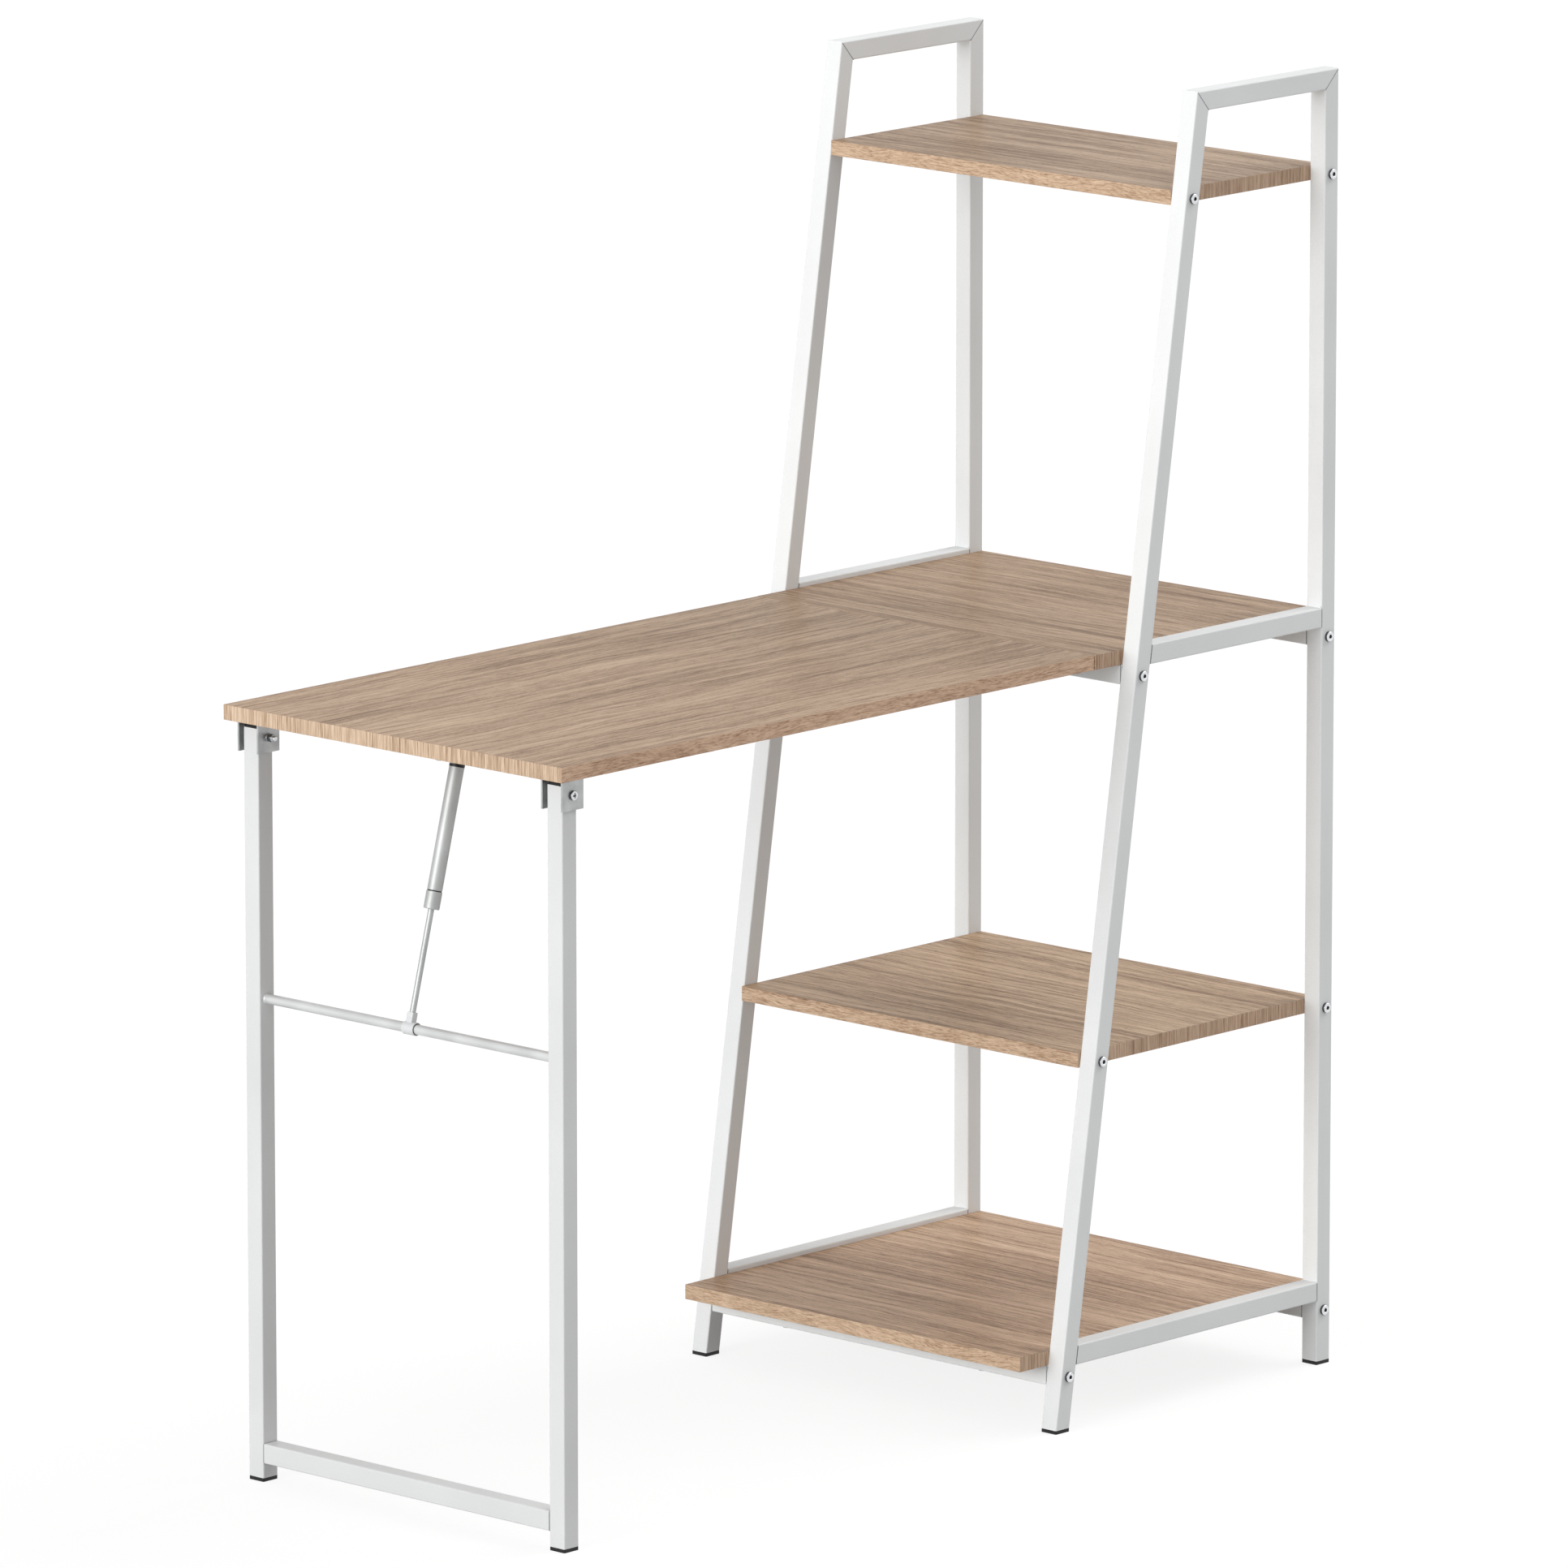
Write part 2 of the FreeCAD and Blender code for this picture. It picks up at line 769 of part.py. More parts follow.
def leaning_foot(y):
    """Foot with a plug that follows the lean of the front post."""
    x_low = front_face_x(foot_flange)
    flange = box(vector(x_low, y - tube / 2, 0), vector(x_low + post_run, y + tube / 2, foot_flange))
    corners = [edge for edge in flange.Edges if edge.BoundBox.ZLength > foot_flange / 2]
    flange = flange.makeFillet(tube_corner, corners)
    start = vector(front_center_x(-overrun), y, -overrun)
    length = (overrun + plug_length) / math.cos(post_lean)
    plug = turned(plug_along_z(length), vector(0, 1, 0), math.degrees(post_lean), start)
    plug = plug.cut(box(vector(x_low - overrun, y - tube, -2 * overrun),
                        vector(x_low + 2 * overrun, y + tube, foot_flange)))
    return fused([flange, plug])


def shelf_unit_feet():
    feet = []
    for side in (-1, 1):
        feet.append(upright_foot(rear_center_x, side * post_y))
        feet.append(leaning_foot(side * post_y))
    return feet


# Gas strut, built upright on its foot and then leaned over

def along_strut(distance):
    return strut_foot.add(strut_axis * distance)


collar_start = clip_boss_end + strut_rod_exposed_share * strut_length
cylinder_start = collar_start + strut_collar_length
cylinder_end = strut_length - strut_body_end
cylinder_bore = strut_outer / 2 - strut_bore_wall


def strut_clip():
    """Sleeve on the round bar with a boss that holds the rod."""
    sleeve = rod(clip_outer / 2, vector(leg_center_x, -clip_length / 2, leg_bar_height),
                 vector(leg_center_x, clip_length / 2, leg_bar_height))
    boss = box(vector(-clip_boss_depth / 2, -clip_boss_width / 2, 0),
               vector(clip_boss_depth / 2, clip_boss_width / 2, clip_boss_end))
    boss = turned(boss, vector(0, 1, 0), math.degrees(strut_lean), strut_foot)
    clip = fused([sleeve, boss])
    bore = leg_bar / 2 + clip_bore_play
    clip = clip.cut(cross_hole(bore, leg_center_x, 0, leg_bar_height, clip_length))
    return clip.cut(rod(strut_rod / 2 + screw_fit, along_strut(clip_boss_end - clip_rod_depth),
                        along_strut(clip_boss_end + overrun)))


def piston_start():
    return cylinder_start + strut_guide_length + strut_piston_gap


def strut_rod_shape():
    return rod(strut_rod / 2, along_strut(clip_boss_end - clip_rod_depth), along_strut(piston_start()))


def strut_piston():
    return rod(cylinder_bore - running_play, along_strut(piston_start()),
               along_strut(piston_start() + strut_piston_length))


def strut_collar():
    """End collar with a hole for the rod and a thin groove where it meets the cylinder."""
    start = along_strut(collar_start)
    end = along_strut(cylinder_start - strut_collar_groove)
    groove = rod(strut_outer / 2 - strut_collar_groove, end, along_strut(cylinder_start))
    collar = fused([rod(strut_collar_outer / 2, start, end), groove])
    return collar.cut(rod(strut_rod / 2 + 2 * running_play, start, along_strut(cylinder_start)))


def strut_cylinder():
    """Tube closed at its top end."""
    body = rod(strut_outer / 2, along_strut(cylinder_start), along_strut(cylinder_end))
    return body.cut(rod(cylinder_bore, along_strut(cylinder_start),
                        along_strut(cylinder_end - strut_closed_end)))


def strut_guide():
    """Rod guide and seal at the mouth of the cylinder."""
    start = along_strut(cylinder_start)
    end = along_strut(cylinder_start + strut_guide_length)
    guide = rod(cylinder_bore - screw_fit, start, end)
    return guide.cut(rod(strut_rod / 2 + strut_guide_bore_play, start, end))


def strut_end_fitting():
    """Black end piece: round neck on the cylinder, then a flat eye for the pin."""
    neck_end = cylinder_end + strut_fitting_neck
    neck = rod(strut_outer / 2, along_strut(cylinder_end), along_strut(neck_end))
    half = strut_eye_width / 2
    shank = box(vector(-strut_eye / 2, -half, neck_end), vector(strut_eye / 2, half, strut_length))
    shank = turned(shank, vector(0, 1, 0), math.degrees(strut_lean), strut_foot)
    eye_start = vector(strut_top_x, -half, strut_top_z)
    eye = rod(strut_eye / 2, eye_start, vector(strut_top_x, half, strut_top_z))
    return fused([neck, shank, eye]).cut(
        cross_hole(strut_pin / 2 + screw_fit, strut_top_x, 0, strut_top_z, strut_outer))


angle_inner_y = strut_outer / 2 + angle_side_play


def strut_pin_shape():
    """Pin through the eye and the windows of both angles, with flat heads."""
    reach = angle_inner_y + angle_sheet + strut_pin_side_play
    pieces = [rod(strut_pin / 2, vector(strut_top_x, -reach, strut_top_z),
                  vector(strut_top_x, reach, strut_top_z))]
    for side in (-1, 1):
        start = vector(strut_top_x, side * reach, strut_top_z)
        end = start.add(vector(0, side * strut_pin_head_height, 0))
        pieces.append(rod(strut_pin_head / 2, start, end))
    return fused(pieces)




def folded_foot(fold):
    """Where the foot of the strut is, as (x, z), when the leg has folded by an angle."""
    dx = leg_center_x - pivot_x
    dz = leg_bar_height - pivot_z
    return (pivot_x + dx * math.cos(fold) - dz * math.sin(fold),
            pivot_z + dx * math.sin(fold) + dz * math.cos(fold))


full_fold = math.radians(leg_fold_degrees)
full_foot_x, full_foot_z = folded_foot(full_fold)
full_reach_x = strut_top_x - full_foot_x
full_reach_z = strut_top_z - full_foot_z
full_stroke = strut_length - math.hypot(full_reach_x, full_reach_z)
full_turn = strut_lean - full_fold - math.atan2(full_reach_x, full_reach_z)


def pin_place(fold):
    """Where the strut's top pin is while the strut turns and shortens evenly with the leg."""
    share = fold / full_fold
    foot_x, foot_z = folded_foot(fold)
    lean = strut_lean - fold - share * full_turn
    length = strut_length - share * full_stroke
    return foot_x + length * math.sin(lean), foot_z + length * math.cos(lean)


def pin_loop(offset, y, thickness):
    """Slab around the whole way of the pin, wider than it by offset."""
    points = []
    for degrees in range(0, leg_fold_degrees, window_step_degrees):
        x, z = pin_place(math.radians(degrees))
        points.append(vector(x, y, z))
    loop = Part.Face(Part.makePolygon(points + points[:1])).makeOffset2D(offset)
    return loop.extrude(vector(0, thickness, 0))


window_edge = strut_pin / 2 + window_play
ear_outline = pin_loop(window_edge + angle_rim, 0, angle_sheet).BoundBox
angle_low_x = ear_outline.XMin
angle_high_x = ear_outline.XMax
angle_face_z = desk_underside - angle_sheet


def angle_screw_places():
    places = []
    middle_x = (angle_low_x + angle_high_x) / 2
    for side in (-1, 1):
        y = side * (angle_inner_y + angle_sheet + angle_flange / 2)
        places.append((middle_x - angle_screw_pitch / 2, y))
        places.append((middle_x + angle_screw_pitch / 2, y))
    return places


def strut_angle(side):
    """Angle under the leaf whose upright leg has a window that the pin travels in."""
    y_inner = side * angle_inner_y
    y_outer = side * (angle_inner_y + angle_sheet)
    y_flange = side * (angle_inner_y + angle_sheet + angle_flange)
    y_low = min(y_inner, y_outer)
    round_end = pin_loop(window_edge + angle_rim, y_low, angle_sheet)
    upper = box(vector(angle_low_x, y_low, strut_top_z),
                vector(angle_high_x, y_low + angle_sheet, desk_underside))
    flange = box(vector(angle_low_x, min(y_inner, y_flange), angle_face_z),
                 vector(angle_high_x, max(y_inner, y_flange), desk_underside))
    window = pin_loop(window_edge, y_low - overrun, 2 * overrun)
    angle = fused([round_end, upper, flange]).cut(window)
    return cut_all(angle, flat_screw_holes(angle_screw_places(), angle_face_z))


# All pieces by name

leaf_screw_holes = flat_screw_holes(hinge_screw_places(-1), hinge_face_z)
leaf_screw_holes += flat_screw_holes(angle_screw_places(), angle_face_z)
for leaf_side in (-1, 1):
    leaf_screw_holes += flat_screw_holes(bracket_screw_places(leaf_side), bracket_face_z)
desk_shelf_holes = rail_screw_holes(desk_rail_z) + flat_screw_holes(hinge_screw_places(1), hinge_face_z)

pieces = {}
for side_name, side_sign in (("right", -1), ("left", 1)):
    pieces[side_name + "_rear_post"] = [rear_post(side_sign)]
    pieces[side_name + "_front_post"] = [front_post(side_sign)]
    pieces[side_name + "_top_rail"] = [top_rail(side_sign)]
    pieces[side_name + "_desk_rail"] = [side_rail(side_sign, desk_height + rail_rise)]
    pieces[side_name + "_base_rail"] = [side_rail(side_sign, bottom_shelf_height + rail_rise)]
    pieces[side_name + "_frame_bolts"] = frame_bolts(side_sign)
    pieces[side_name + "_leg_bracket"] = [leg_bracket(side_sign)]
    pieces[side_name + "_leg_post"] = [leg_post(side_sign)]

for rail_name, rail_z in (("desk", desk_rail_z), ("base", base_rail_z)):
    pieces[rail_name + "_rear_cross_rail"] = [cross_rail(rear_center_x, rail_z)]
    pieces[rail_name + "_front_cross_rail"] = [cross_rail(front_center_x(rail_z), rail_z)]

shelf_table = {
    "top_shelf": (top_shelf_height, top_shelf_overhang, insert_holes(top_bolt_z)),
    "desk_shelf": (desk_height, desk_shelf_overhang, desk_shelf_holes),
    "middle_shelf": (middle_shelf_height, middle_shelf_overhang, insert_holes(middle_bolt_z)),
    "bottom_shelf": (bottom_shelf_height, bottom_shelf_overhang, rail_screw_holes(base_rail_z)),
}
for shelf_name, (shelf_top, shelf_overhang, shelf_holes) in shelf_table.items():
    shelf_core, shelf_band = shelf(shelf_top, shelf_overhang, shelf_holes)
    pieces[shelf_name] = [shelf_core]
    pieces[shelf_name + "_edge_band"] = [shelf_band]

leaf_edge_x = seam_x - seam_gap
leaf_core, leaf_band = board_pieces(leaf_end_x, leaf_edge_x, leaf_y, desk_height, leaf_screw_holes)
pieces["leaf_board"] = [leaf_core]
pieces["leaf_edge_band"] = [leaf_band]

pieces["rail_end_plugs"] = rail_plugs()
pieces["shelf_inserts"] = shelf_inserts()
pieces["shelf_screws"] = shelf_screws()
pieces["shelf_unit_feet"] = shelf_unit_feet()
pieces["hinge_fixed_flaps"] = [hinge_fixed_flap(y) for y in hinge_ys]
pieces["hinge_moving_flaps"] = [hinge_moving_flap(y) for y in hinge_ys]
pieces["hinge_pins"] = [hinge_pin_shape(y) for y in hinge_ys]
pieces["hinge_fixed_screws"] = flat_screws(hinge_screw_places(1), hinge_face_z)
pieces["hinge_moving_screws"] = flat_screws(hinge_screw_places(-1), hinge_face_z)
both_bracket_places = bracket_screw_places(-1) + bracket_screw_places(1)
pieces["bracket_screws"] = flat_screws(both_bracket_places, bracket_face_z)
pieces["pivot_bolts"] = [pivot_bolt(side) for side in (-1, 1)]
pieces["pivot_nuts"] = [pivot_nut_shape(side) for side in (-1, 1)]
pieces["pivot_spacers"] = [pivot_spacer(side) for side in (-1, 1)]
pieces["pivot_bushes"] = [pivot_bush(side) for side in (-1, 1)]
pieces["leg_bottom_rail"] = [leg_bottom_rail()]
pieces["leg_round_bar"] = [leg_round_bar()]
pieces["leg_post_caps"] = [leg_post_cap(side) for side in (-1, 1)]
pieces["leg_feet"] = [upright_foot(leg_center_x, side * (leg_outer_y - tube / 2)) for side in (-1, 1)]
pieces["strut_bar_clip"] = [strut_clip()]
pieces["piston_rod"] = [strut_rod_shape()]
pieces["piston"] = [strut_piston()]
pieces["strut_collar"] = [strut_collar()]
pieces["cylinder_tube"] = [strut_cylinder()]
pieces["strut_rod_guide"] = [strut_guide()]
pieces["strut_end_fitting"] = [strut_end_fitting()]
pieces["strut_pin"] = [strut_pin_shape()]
pieces["strut_angles"] = [strut_angle(side) for side in (-1, 1)]
pieces["strut_angle_screws"] = flat_screws(angle_screw_places(), angle_face_z)

os.makedirs("parts", exist_ok=True)
for piece_name, solids in pieces.items():
    shape = solids[0] if len(solids) == 1 else Part.makeCompound(solids)
    shape.exportStep("parts/" + piece_name + ".step")
    whole = all(solid.isValid() and len(solid.Solids) == 1 for solid in solids)
    print(piece_name, len(solids), "valid" if whole else "CHECK")
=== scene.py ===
import bpy
import json
import math
import numpy as np
from mathutils import Matrix, Vector


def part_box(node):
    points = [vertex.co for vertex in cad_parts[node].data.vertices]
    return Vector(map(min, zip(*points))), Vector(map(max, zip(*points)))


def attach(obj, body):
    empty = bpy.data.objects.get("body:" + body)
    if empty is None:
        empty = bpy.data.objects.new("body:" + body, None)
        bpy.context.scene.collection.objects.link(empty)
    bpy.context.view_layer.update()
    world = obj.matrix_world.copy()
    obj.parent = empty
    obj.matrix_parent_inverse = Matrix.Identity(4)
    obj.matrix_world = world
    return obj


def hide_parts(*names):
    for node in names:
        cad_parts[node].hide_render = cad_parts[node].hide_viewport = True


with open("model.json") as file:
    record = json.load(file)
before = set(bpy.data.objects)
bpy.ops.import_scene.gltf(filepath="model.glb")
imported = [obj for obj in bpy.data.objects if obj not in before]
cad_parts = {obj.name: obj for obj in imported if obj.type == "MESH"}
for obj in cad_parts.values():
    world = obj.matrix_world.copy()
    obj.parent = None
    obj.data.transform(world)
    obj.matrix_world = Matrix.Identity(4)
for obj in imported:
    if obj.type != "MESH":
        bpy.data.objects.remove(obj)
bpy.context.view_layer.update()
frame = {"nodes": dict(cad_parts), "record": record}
nodes = frame["nodes"]

# Camera: its place, in metres, and its directions, solved from the edges of the photograph

photo_pixels = 1932
focal_pixels = 18206.14
sensor_mm = 36.0
nearest_seen = 1.0
farthest_seen = 100.0
camera_place = Vector((-10.45744, -9.73915, 3.57710))
camera_right = Vector((0.6813139, -0.7319913, -0.0001584))
camera_up = Vector((0.1472609, 0.1368536, 0.9795843))


def set_camera():
    """Long lens far away; its axes are the right and up directions of the photograph."""
    lens = bpy.data.cameras.new("photo_camera")
    lens.sensor_fit = "HORIZONTAL"
    lens.sensor_width = sensor_mm
    lens.lens = focal_pixels / photo_pixels * sensor_mm
    lens.clip_start = nearest_seen
    lens.clip_end = farthest_seen
    camera = bpy.data.objects.new("photo_camera", lens)
    right = camera_right.normalized()
    back = right.cross(camera_up).normalized()
    up = back.cross(right)
    turn = Matrix((right, up, back)).transposed().to_4x4()
    camera.matrix_world = Matrix.Translation(camera_place) @ turn
    bpy.context.scene.collection.objects.link(camera)
    bpy.context.scene.camera = camera


# Studio: pale floor, white surroundings, a low broad lamp off the leaf's end and a high broad one
# behind the shelves. Each lamp's direction points to where its light comes from

sky_light = 0.56
key_strength = 2.10
key_from = Vector((-0.98, 0.03, 0.17))
key_softness = math.radians(35)
back_strength = 1.15
back_from = Vector((0.62, -0.22, 0.75))
back_softness = math.radians(40)
floor_reach = 30.0
floor_bounce = 0.48
floor_seen = 0.20
floor_lift = 0.845

# Places of the colour and vector sockets on a mix node

colour_inputs = (6, 7)
colour_output = 2
vector_inputs = (4, 5)
vector_output = 1


def grey(level):
    """Grey from 0, black, to 1, white, with nothing see-through."""
    return (level, level, level, 1.0)


def node_tree(owner):
    """Empty node tree of a material or a world."""
    owner.use_nodes = True
    tree = owner.node_tree
    tree.nodes.clear()
    return tree


def seen_directly(tree):
    """1 for a ray from the camera, off a gloss or through glass; 0 for the light on things."""
    path = tree.nodes.new("ShaderNodeLightPath")
    share = path.outputs["Is Camera Ray"]
    for ray in ("Is Glossy Ray", "Is Transmission Ray"):
        larger = tree.nodes.new("ShaderNodeMath")
        larger.operation = "MAXIMUM"
        tree.links.new(share, larger.inputs[0])
        tree.links.new(path.outputs[ray], larger.inputs[1])
        share = larger.outputs[0]
    return share


def set_sky():
    """White where it is seen, a plain level of light where it shines."""
    world = bpy.data.worlds.new("white_studio")
    bpy.context.scene.world = world
    tree = node_tree(world)
    mix = tree.nodes.new("ShaderNodeMixShader")
    tree.links.new(seen_directly(tree), mix.inputs["Fac"])
    for place, strength in ((1, sky_light), (2, 1.0)):
        background = tree.nodes.new("ShaderNodeBackground")
        background.inputs["Color"].default_value = grey(1.0)
        background.inputs["Strength"].default_value = strength
        tree.links.new(background.outputs[0], mix.inputs[place])
    out = tree.nodes.new("ShaderNodeOutputWorld")
    tree.links.new(mix.outputs[0], out.inputs["Surface"])


def add_sun(name, strength, comes_from, softness):
    """Lamp as far away as the sun; its softness is the angle that it fills."""
    lamp = bpy.data.lights.new(name, "SUN")
    lamp.energy = strength
    lamp.angle = softness
    sun = bpy.data.objects.new(name, lamp)
    sun.rotation_euler = comes_from.to_track_quat("Z", "Y").to_euler()
    bpy.context.scene.collection.objects.link(sun)


def add_floor():
    """Flat pale sheet under the feet; the lift brings it to white where no shadow falls."""
    mesh = bpy.data.meshes.new("floor")
    r = floor_reach
    mesh.from_pydata([(-r, -r, 0), (r, -r, 0), (r, r, 0), (-r, r, 0)], [], [(0, 1, 2, 3)])
    floor = bpy.data.objects.new("floor", mesh)
    bpy.context.scene.collection.objects.link(floor)
    material = bpy.data.materials.new("floor_paper")
    tree = node_tree(material)
    seen = seen_directly(tree)
    paper = tree.nodes.new("ShaderNodeMix")
    paper.data_type = "RGBA"
    tree.links.new(seen, paper.inputs["Factor"])
    for place, level in zip(colour_inputs, (floor_bounce, floor_seen)):
        paper.inputs[place].default_value = grey(level)
    matt = tree.nodes.new("ShaderNodeBsdfDiffuse")
    tree.links.new(paper.outputs[colour_output], matt.inputs["Color"])
    lift = tree.nodes.new("ShaderNodeEmission")
    tree.links.new(seen, lift.inputs["Strength"])
    lift.inputs["Color"].default_value = grey(floor_lift)
    both = tree.nodes.new("ShaderNodeAddShader")
    tree.links.new(matt.outputs[0], both.inputs[0])
    tree.links.new(lift.outputs[0], both.inputs[1])
    out = tree.nodes.new("ShaderNodeOutputMaterial")
    tree.links.new(both.outputs[0], out.inputs["Surface"])
    mesh.materials.append(material)


# Materials. A fineness is per metre. A relief is its strength, and its height in metres. A noise is
# stretched over a wide or a narrow range round its middle

wide = (0.3, 0.7)
narrow = (0.35, 0.65)
near_black = 10


def linear(red, green, blue):
    """Screen colour, 0 to 255, as linear light: each share c of full becomes
    ((c + 0.055) / 1.055) to the power 2.4, or c / 12.92 near black."""
    def light(level):
        share = level / 255
        return ((share + 0.055) / 1.055) ** 2.4 if level > near_black else share / 12.92
    return light(red), light(green), light(blue)


class Recipe:
    """Small helper that lays out one material's nodes."""

    def __init__(self, name, metallic=0.0, roughness=0.5, coat=0.0, specular=0.5):
        self.material = bpy.data.materials.new(name)
        self.tree = node_tree(self.material)
        self.shader = self.tree.nodes.new("ShaderNodeBsdfPrincipled")
        self.shader.inputs["Metallic"].default_value = metallic
        self.shader.inputs["Roughness"].default_value = roughness
        self.shader.inputs["Coat Weight"].default_value = coat
        self.shader.inputs["Specular IOR Level"].default_value = specular
        out = self.tree.nodes.new("ShaderNodeOutputMaterial")
        self.tree.links.new(self.shader.outputs[0], out.inputs["Surface"])
        coordinates = self.tree.nodes.new("ShaderNodeTexCoord")
        self.here = coordinates.outputs["Object"]
        self.facing = coordinates.outputs["Normal"]

    def put(self, value, socket):
        """A number, a colour or another node's output into a socket."""
        if isinstance(value, (int, float)):
            socket.default_value = value
        elif isinstance(value, tuple):
            fits = len(value) == len(socket.default_value)
            socket.default_value = value if fits else (*value, 1.0)
        else:
            self.tree.links.new(value, socket)

    def stretched(self, x, y, z):
        """Place on the object, each of its parts multiplied by a fineness."""
        node = self.tree.nodes.new("ShaderNodeMapping")
        self.put(self.here, node.inputs["Vector"])
        node.inputs["Scale"].default_value = (x, y, z)
        return node.outputs["Vector"]

    def noise(self, vector, fineness=1.0, detail=2.0, roughness=0.5):
        """Soft random clouds from 0 to 1, about 0.5."""
        node = self.tree.nodes.new("ShaderNodeTexNoise")
        self.put(vector, node.inputs["Vector"])
        node.inputs["Scale"].default_value = fineness
        node.inputs["Detail"].default_value = detail
        node.inputs["Roughness"].default_value = roughness
        node.inputs["Distortion"].default_value = 0.0
        return node.outputs["Fac"]

    def math(self, operation, first, second=0.0, third=0.0):
        """One step of arithmetic on two or three values."""
        node = self.tree.nodes.new("ShaderNodeMath")
        node.operation = operation
        for value, socket in zip((first, second, third), node.inputs):
            self.put(value, socket)
        return node.outputs[0]

    def spread(self, value, low, high, new_low=0.0, new_high=1.0):
        """Stretches low to high of a value over new_low to new_high, and holds it there."""
        node = self.tree.nodes.new("ShaderNodeMapRange")
        self.put(value, node.inputs["Value"])
        node.inputs["From Min"].default_value = low
        node.inputs["From Max"].default_value = high
        node.inputs["To Min"].default_value = new_low
        node.inputs["To Max"].default_value = new_high
        return node.outputs["Result"]

    def blend(self, kind, inputs, output, share, first, second):
        """The first where share is 0, the second where it is 1."""
        node = self.tree.nodes.new("ShaderNodeMix")
        node.data_type = kind
        self.put(share, node.inputs[0])
        self.put(first, node.inputs[inputs[0]])
        self.put(second, node.inputs[inputs[1]])
        return node.outputs[output]

    def mix(self, share, first, second):
        """Blend of two colours."""
        return self.blend("RGBA", colour_inputs, colour_output, share, first, second)

    def choose(self, share, first, second):
        """Blend of two vectors."""
        return self.blend("VECTOR", vector_inputs, vector_output, share, first, second)

    def ramp(self, share, stops):
        """Colour that runs through the stops, each a place from 0 to 1 and a screen colour."""
        node = self.tree.nodes.new("ShaderNodeValToRGB")
        self.put(share, node.inputs["Fac"])
        points = node.color_ramp.elements
        while len(points) < len(stops):
            points.new(1.0)
        for point, (place, shade) in zip(points, stops):
            point.position = place
            point.color = (*linear(*shade), 1.0)
        return node.outputs["Color"]

    def parts(self, vector):
        """The x, y and z of a vector."""
        node = self.tree.nodes.new("ShaderNodeSeparateXYZ")
        self.put(vector, node.inputs[0])
        return node.outputs

    def joined(self, x, y, z):
        """A vector of x, y and z."""
        node = self.tree.nodes.new("ShaderNodeCombineXYZ")
        for value, socket in zip((x, y, z), node.inputs):
            self.put(value, socket)
        return node.outputs[0]

    def bump(self, relief, strength, height):
        """Relief from a value between 0 and 1."""
        node = self.tree.nodes.new("ShaderNodeBump")
        node.inputs["Strength"].default_value = strength
        node.inputs["Distance"].default_value = height
        self.put(relief, node.inputs["Height"])
        self.put(node.outputs[0], self.shader.inputs["Normal"])

    def colour(self, value):
        """Colour that changes over the surface."""
        self.put(value, self.shader.inputs["Base Color"])

    def rough(self, value):
        """Roughness that changes over the surface."""
        self.put(value, self.shader.inputs["Roughness"])

    def patches(self, fineness, detail, within, shade, other):
        """Slow patches of colour from a shade to another as a noise runs through a range."""
        slow = self.noise(self.here, fineness, detail=detail)
        self.colour(self.mix(self.spread(slow, *within), linear(*shade), linear(*other)))


def powder_coat(name, shade, dark_shade):
    """White powder coat: a fine pebbled skin, tiny darker specks in its hollows and a slow
    change of tone."""
    pebble_fineness, tone_fineness = 1000.0, 9.0
    pebble_relief = (0.16, 0.0004)
    hollows = (0.36, 0.50)
    speck_strength = tone_strength = 0.35
    smoothest, roughest = 0.34, 0.50
    paint = Recipe(name, roughness=0.42, specular=0.3)
    pebbles = paint.noise(paint.here, pebble_fineness, detail=3.0, roughness=0.65)
    specks = paint.spread(pebbles, *hollows, 1.0, 0.0)
    slow = paint.noise(paint.here, tone_fineness, detail=2.0)
    tone = paint.mix(paint.spread(slow, *wide, 0.0, tone_strength),
                     linear(*shade), linear(*dark_shade))
    paint.colour(paint.mix(paint.math("MULTIPLY", specks, speck_strength),
                           tone, linear(*dark_shade)))
    paint.rough(paint.spread(pebbles, *wide, smoothest, roughest))
    paint.bump(pebbles, *pebble_relief)
    return paint.material


# Clouds of the wood's figure, each with its fineness across the grain, its fineness along it, the
# shift that makes it its own cloud, and its detail

sway_cloud = (11.0, 4.5, 1.0, 2.0)
ripple_cloud = (45.0, 20.0, 5.0, 1.0)
broad_cloud = (8.0, 3.0, 7.0, 1.0)
pore_cloud = (1250.0, 170.0, 9.0, 2.0)
first_layer_shift = 2.0
shift_along = 0.37
cloud_roughness = 0.6
sway_push = 6.0
ripple_push = 0.5
figure_middle = 0.5
broad_strength = 0.35
pore_range = (0.05, 0.20)
pore_strength = 0.28

# Layers of grain on the faces and on the edges: fineness across, fineness along, detail, strength

face_layers = (
    (55.0, 2.0, 2.0, 0.60),
    (150.0, 3.4, 3.0, 0.95),
    (420.0, 9.0, 3.0, 1.00),
    (900.0, 45.0, 3.0, 1.00),
)
edge_layers = (
    (85.0, 10.0, 2.0, 0.25),
    (240.0, 26.0, 3.0, 0.60),
    (650.0, 52.0, 3.0, 1.05),
    (1100.0, 120.0, 3.0, 1.10),
)

# Sideways push of the grain in metres; how fast the figure changes through a board; and how much
# of its height an end edge's upright lines follow

face_waviness = 0.004
long_waviness = 0.006
end_waviness = 0.0015
depth_fineness = 37.0
upright_share = 0.3

# Shades from the palest wood to the darkest pores, and their places on the figure

shade_places = (0.14, 0.46, 0.80, 1.0)
face_shades = ((197, 169, 143), (173, 145, 121), (132, 106, 86), (108, 83, 66))
edge_shades = ((226, 198, 170), (204, 175, 147), (165, 133, 106), (134, 103, 78))
untinted = (1.0, 1.0, 1.0)

# Relief of the wood, and the range of it that changes the gloss

wood_relief = (0.14, 0.0004)
relief_range = (0.2, 0.8)


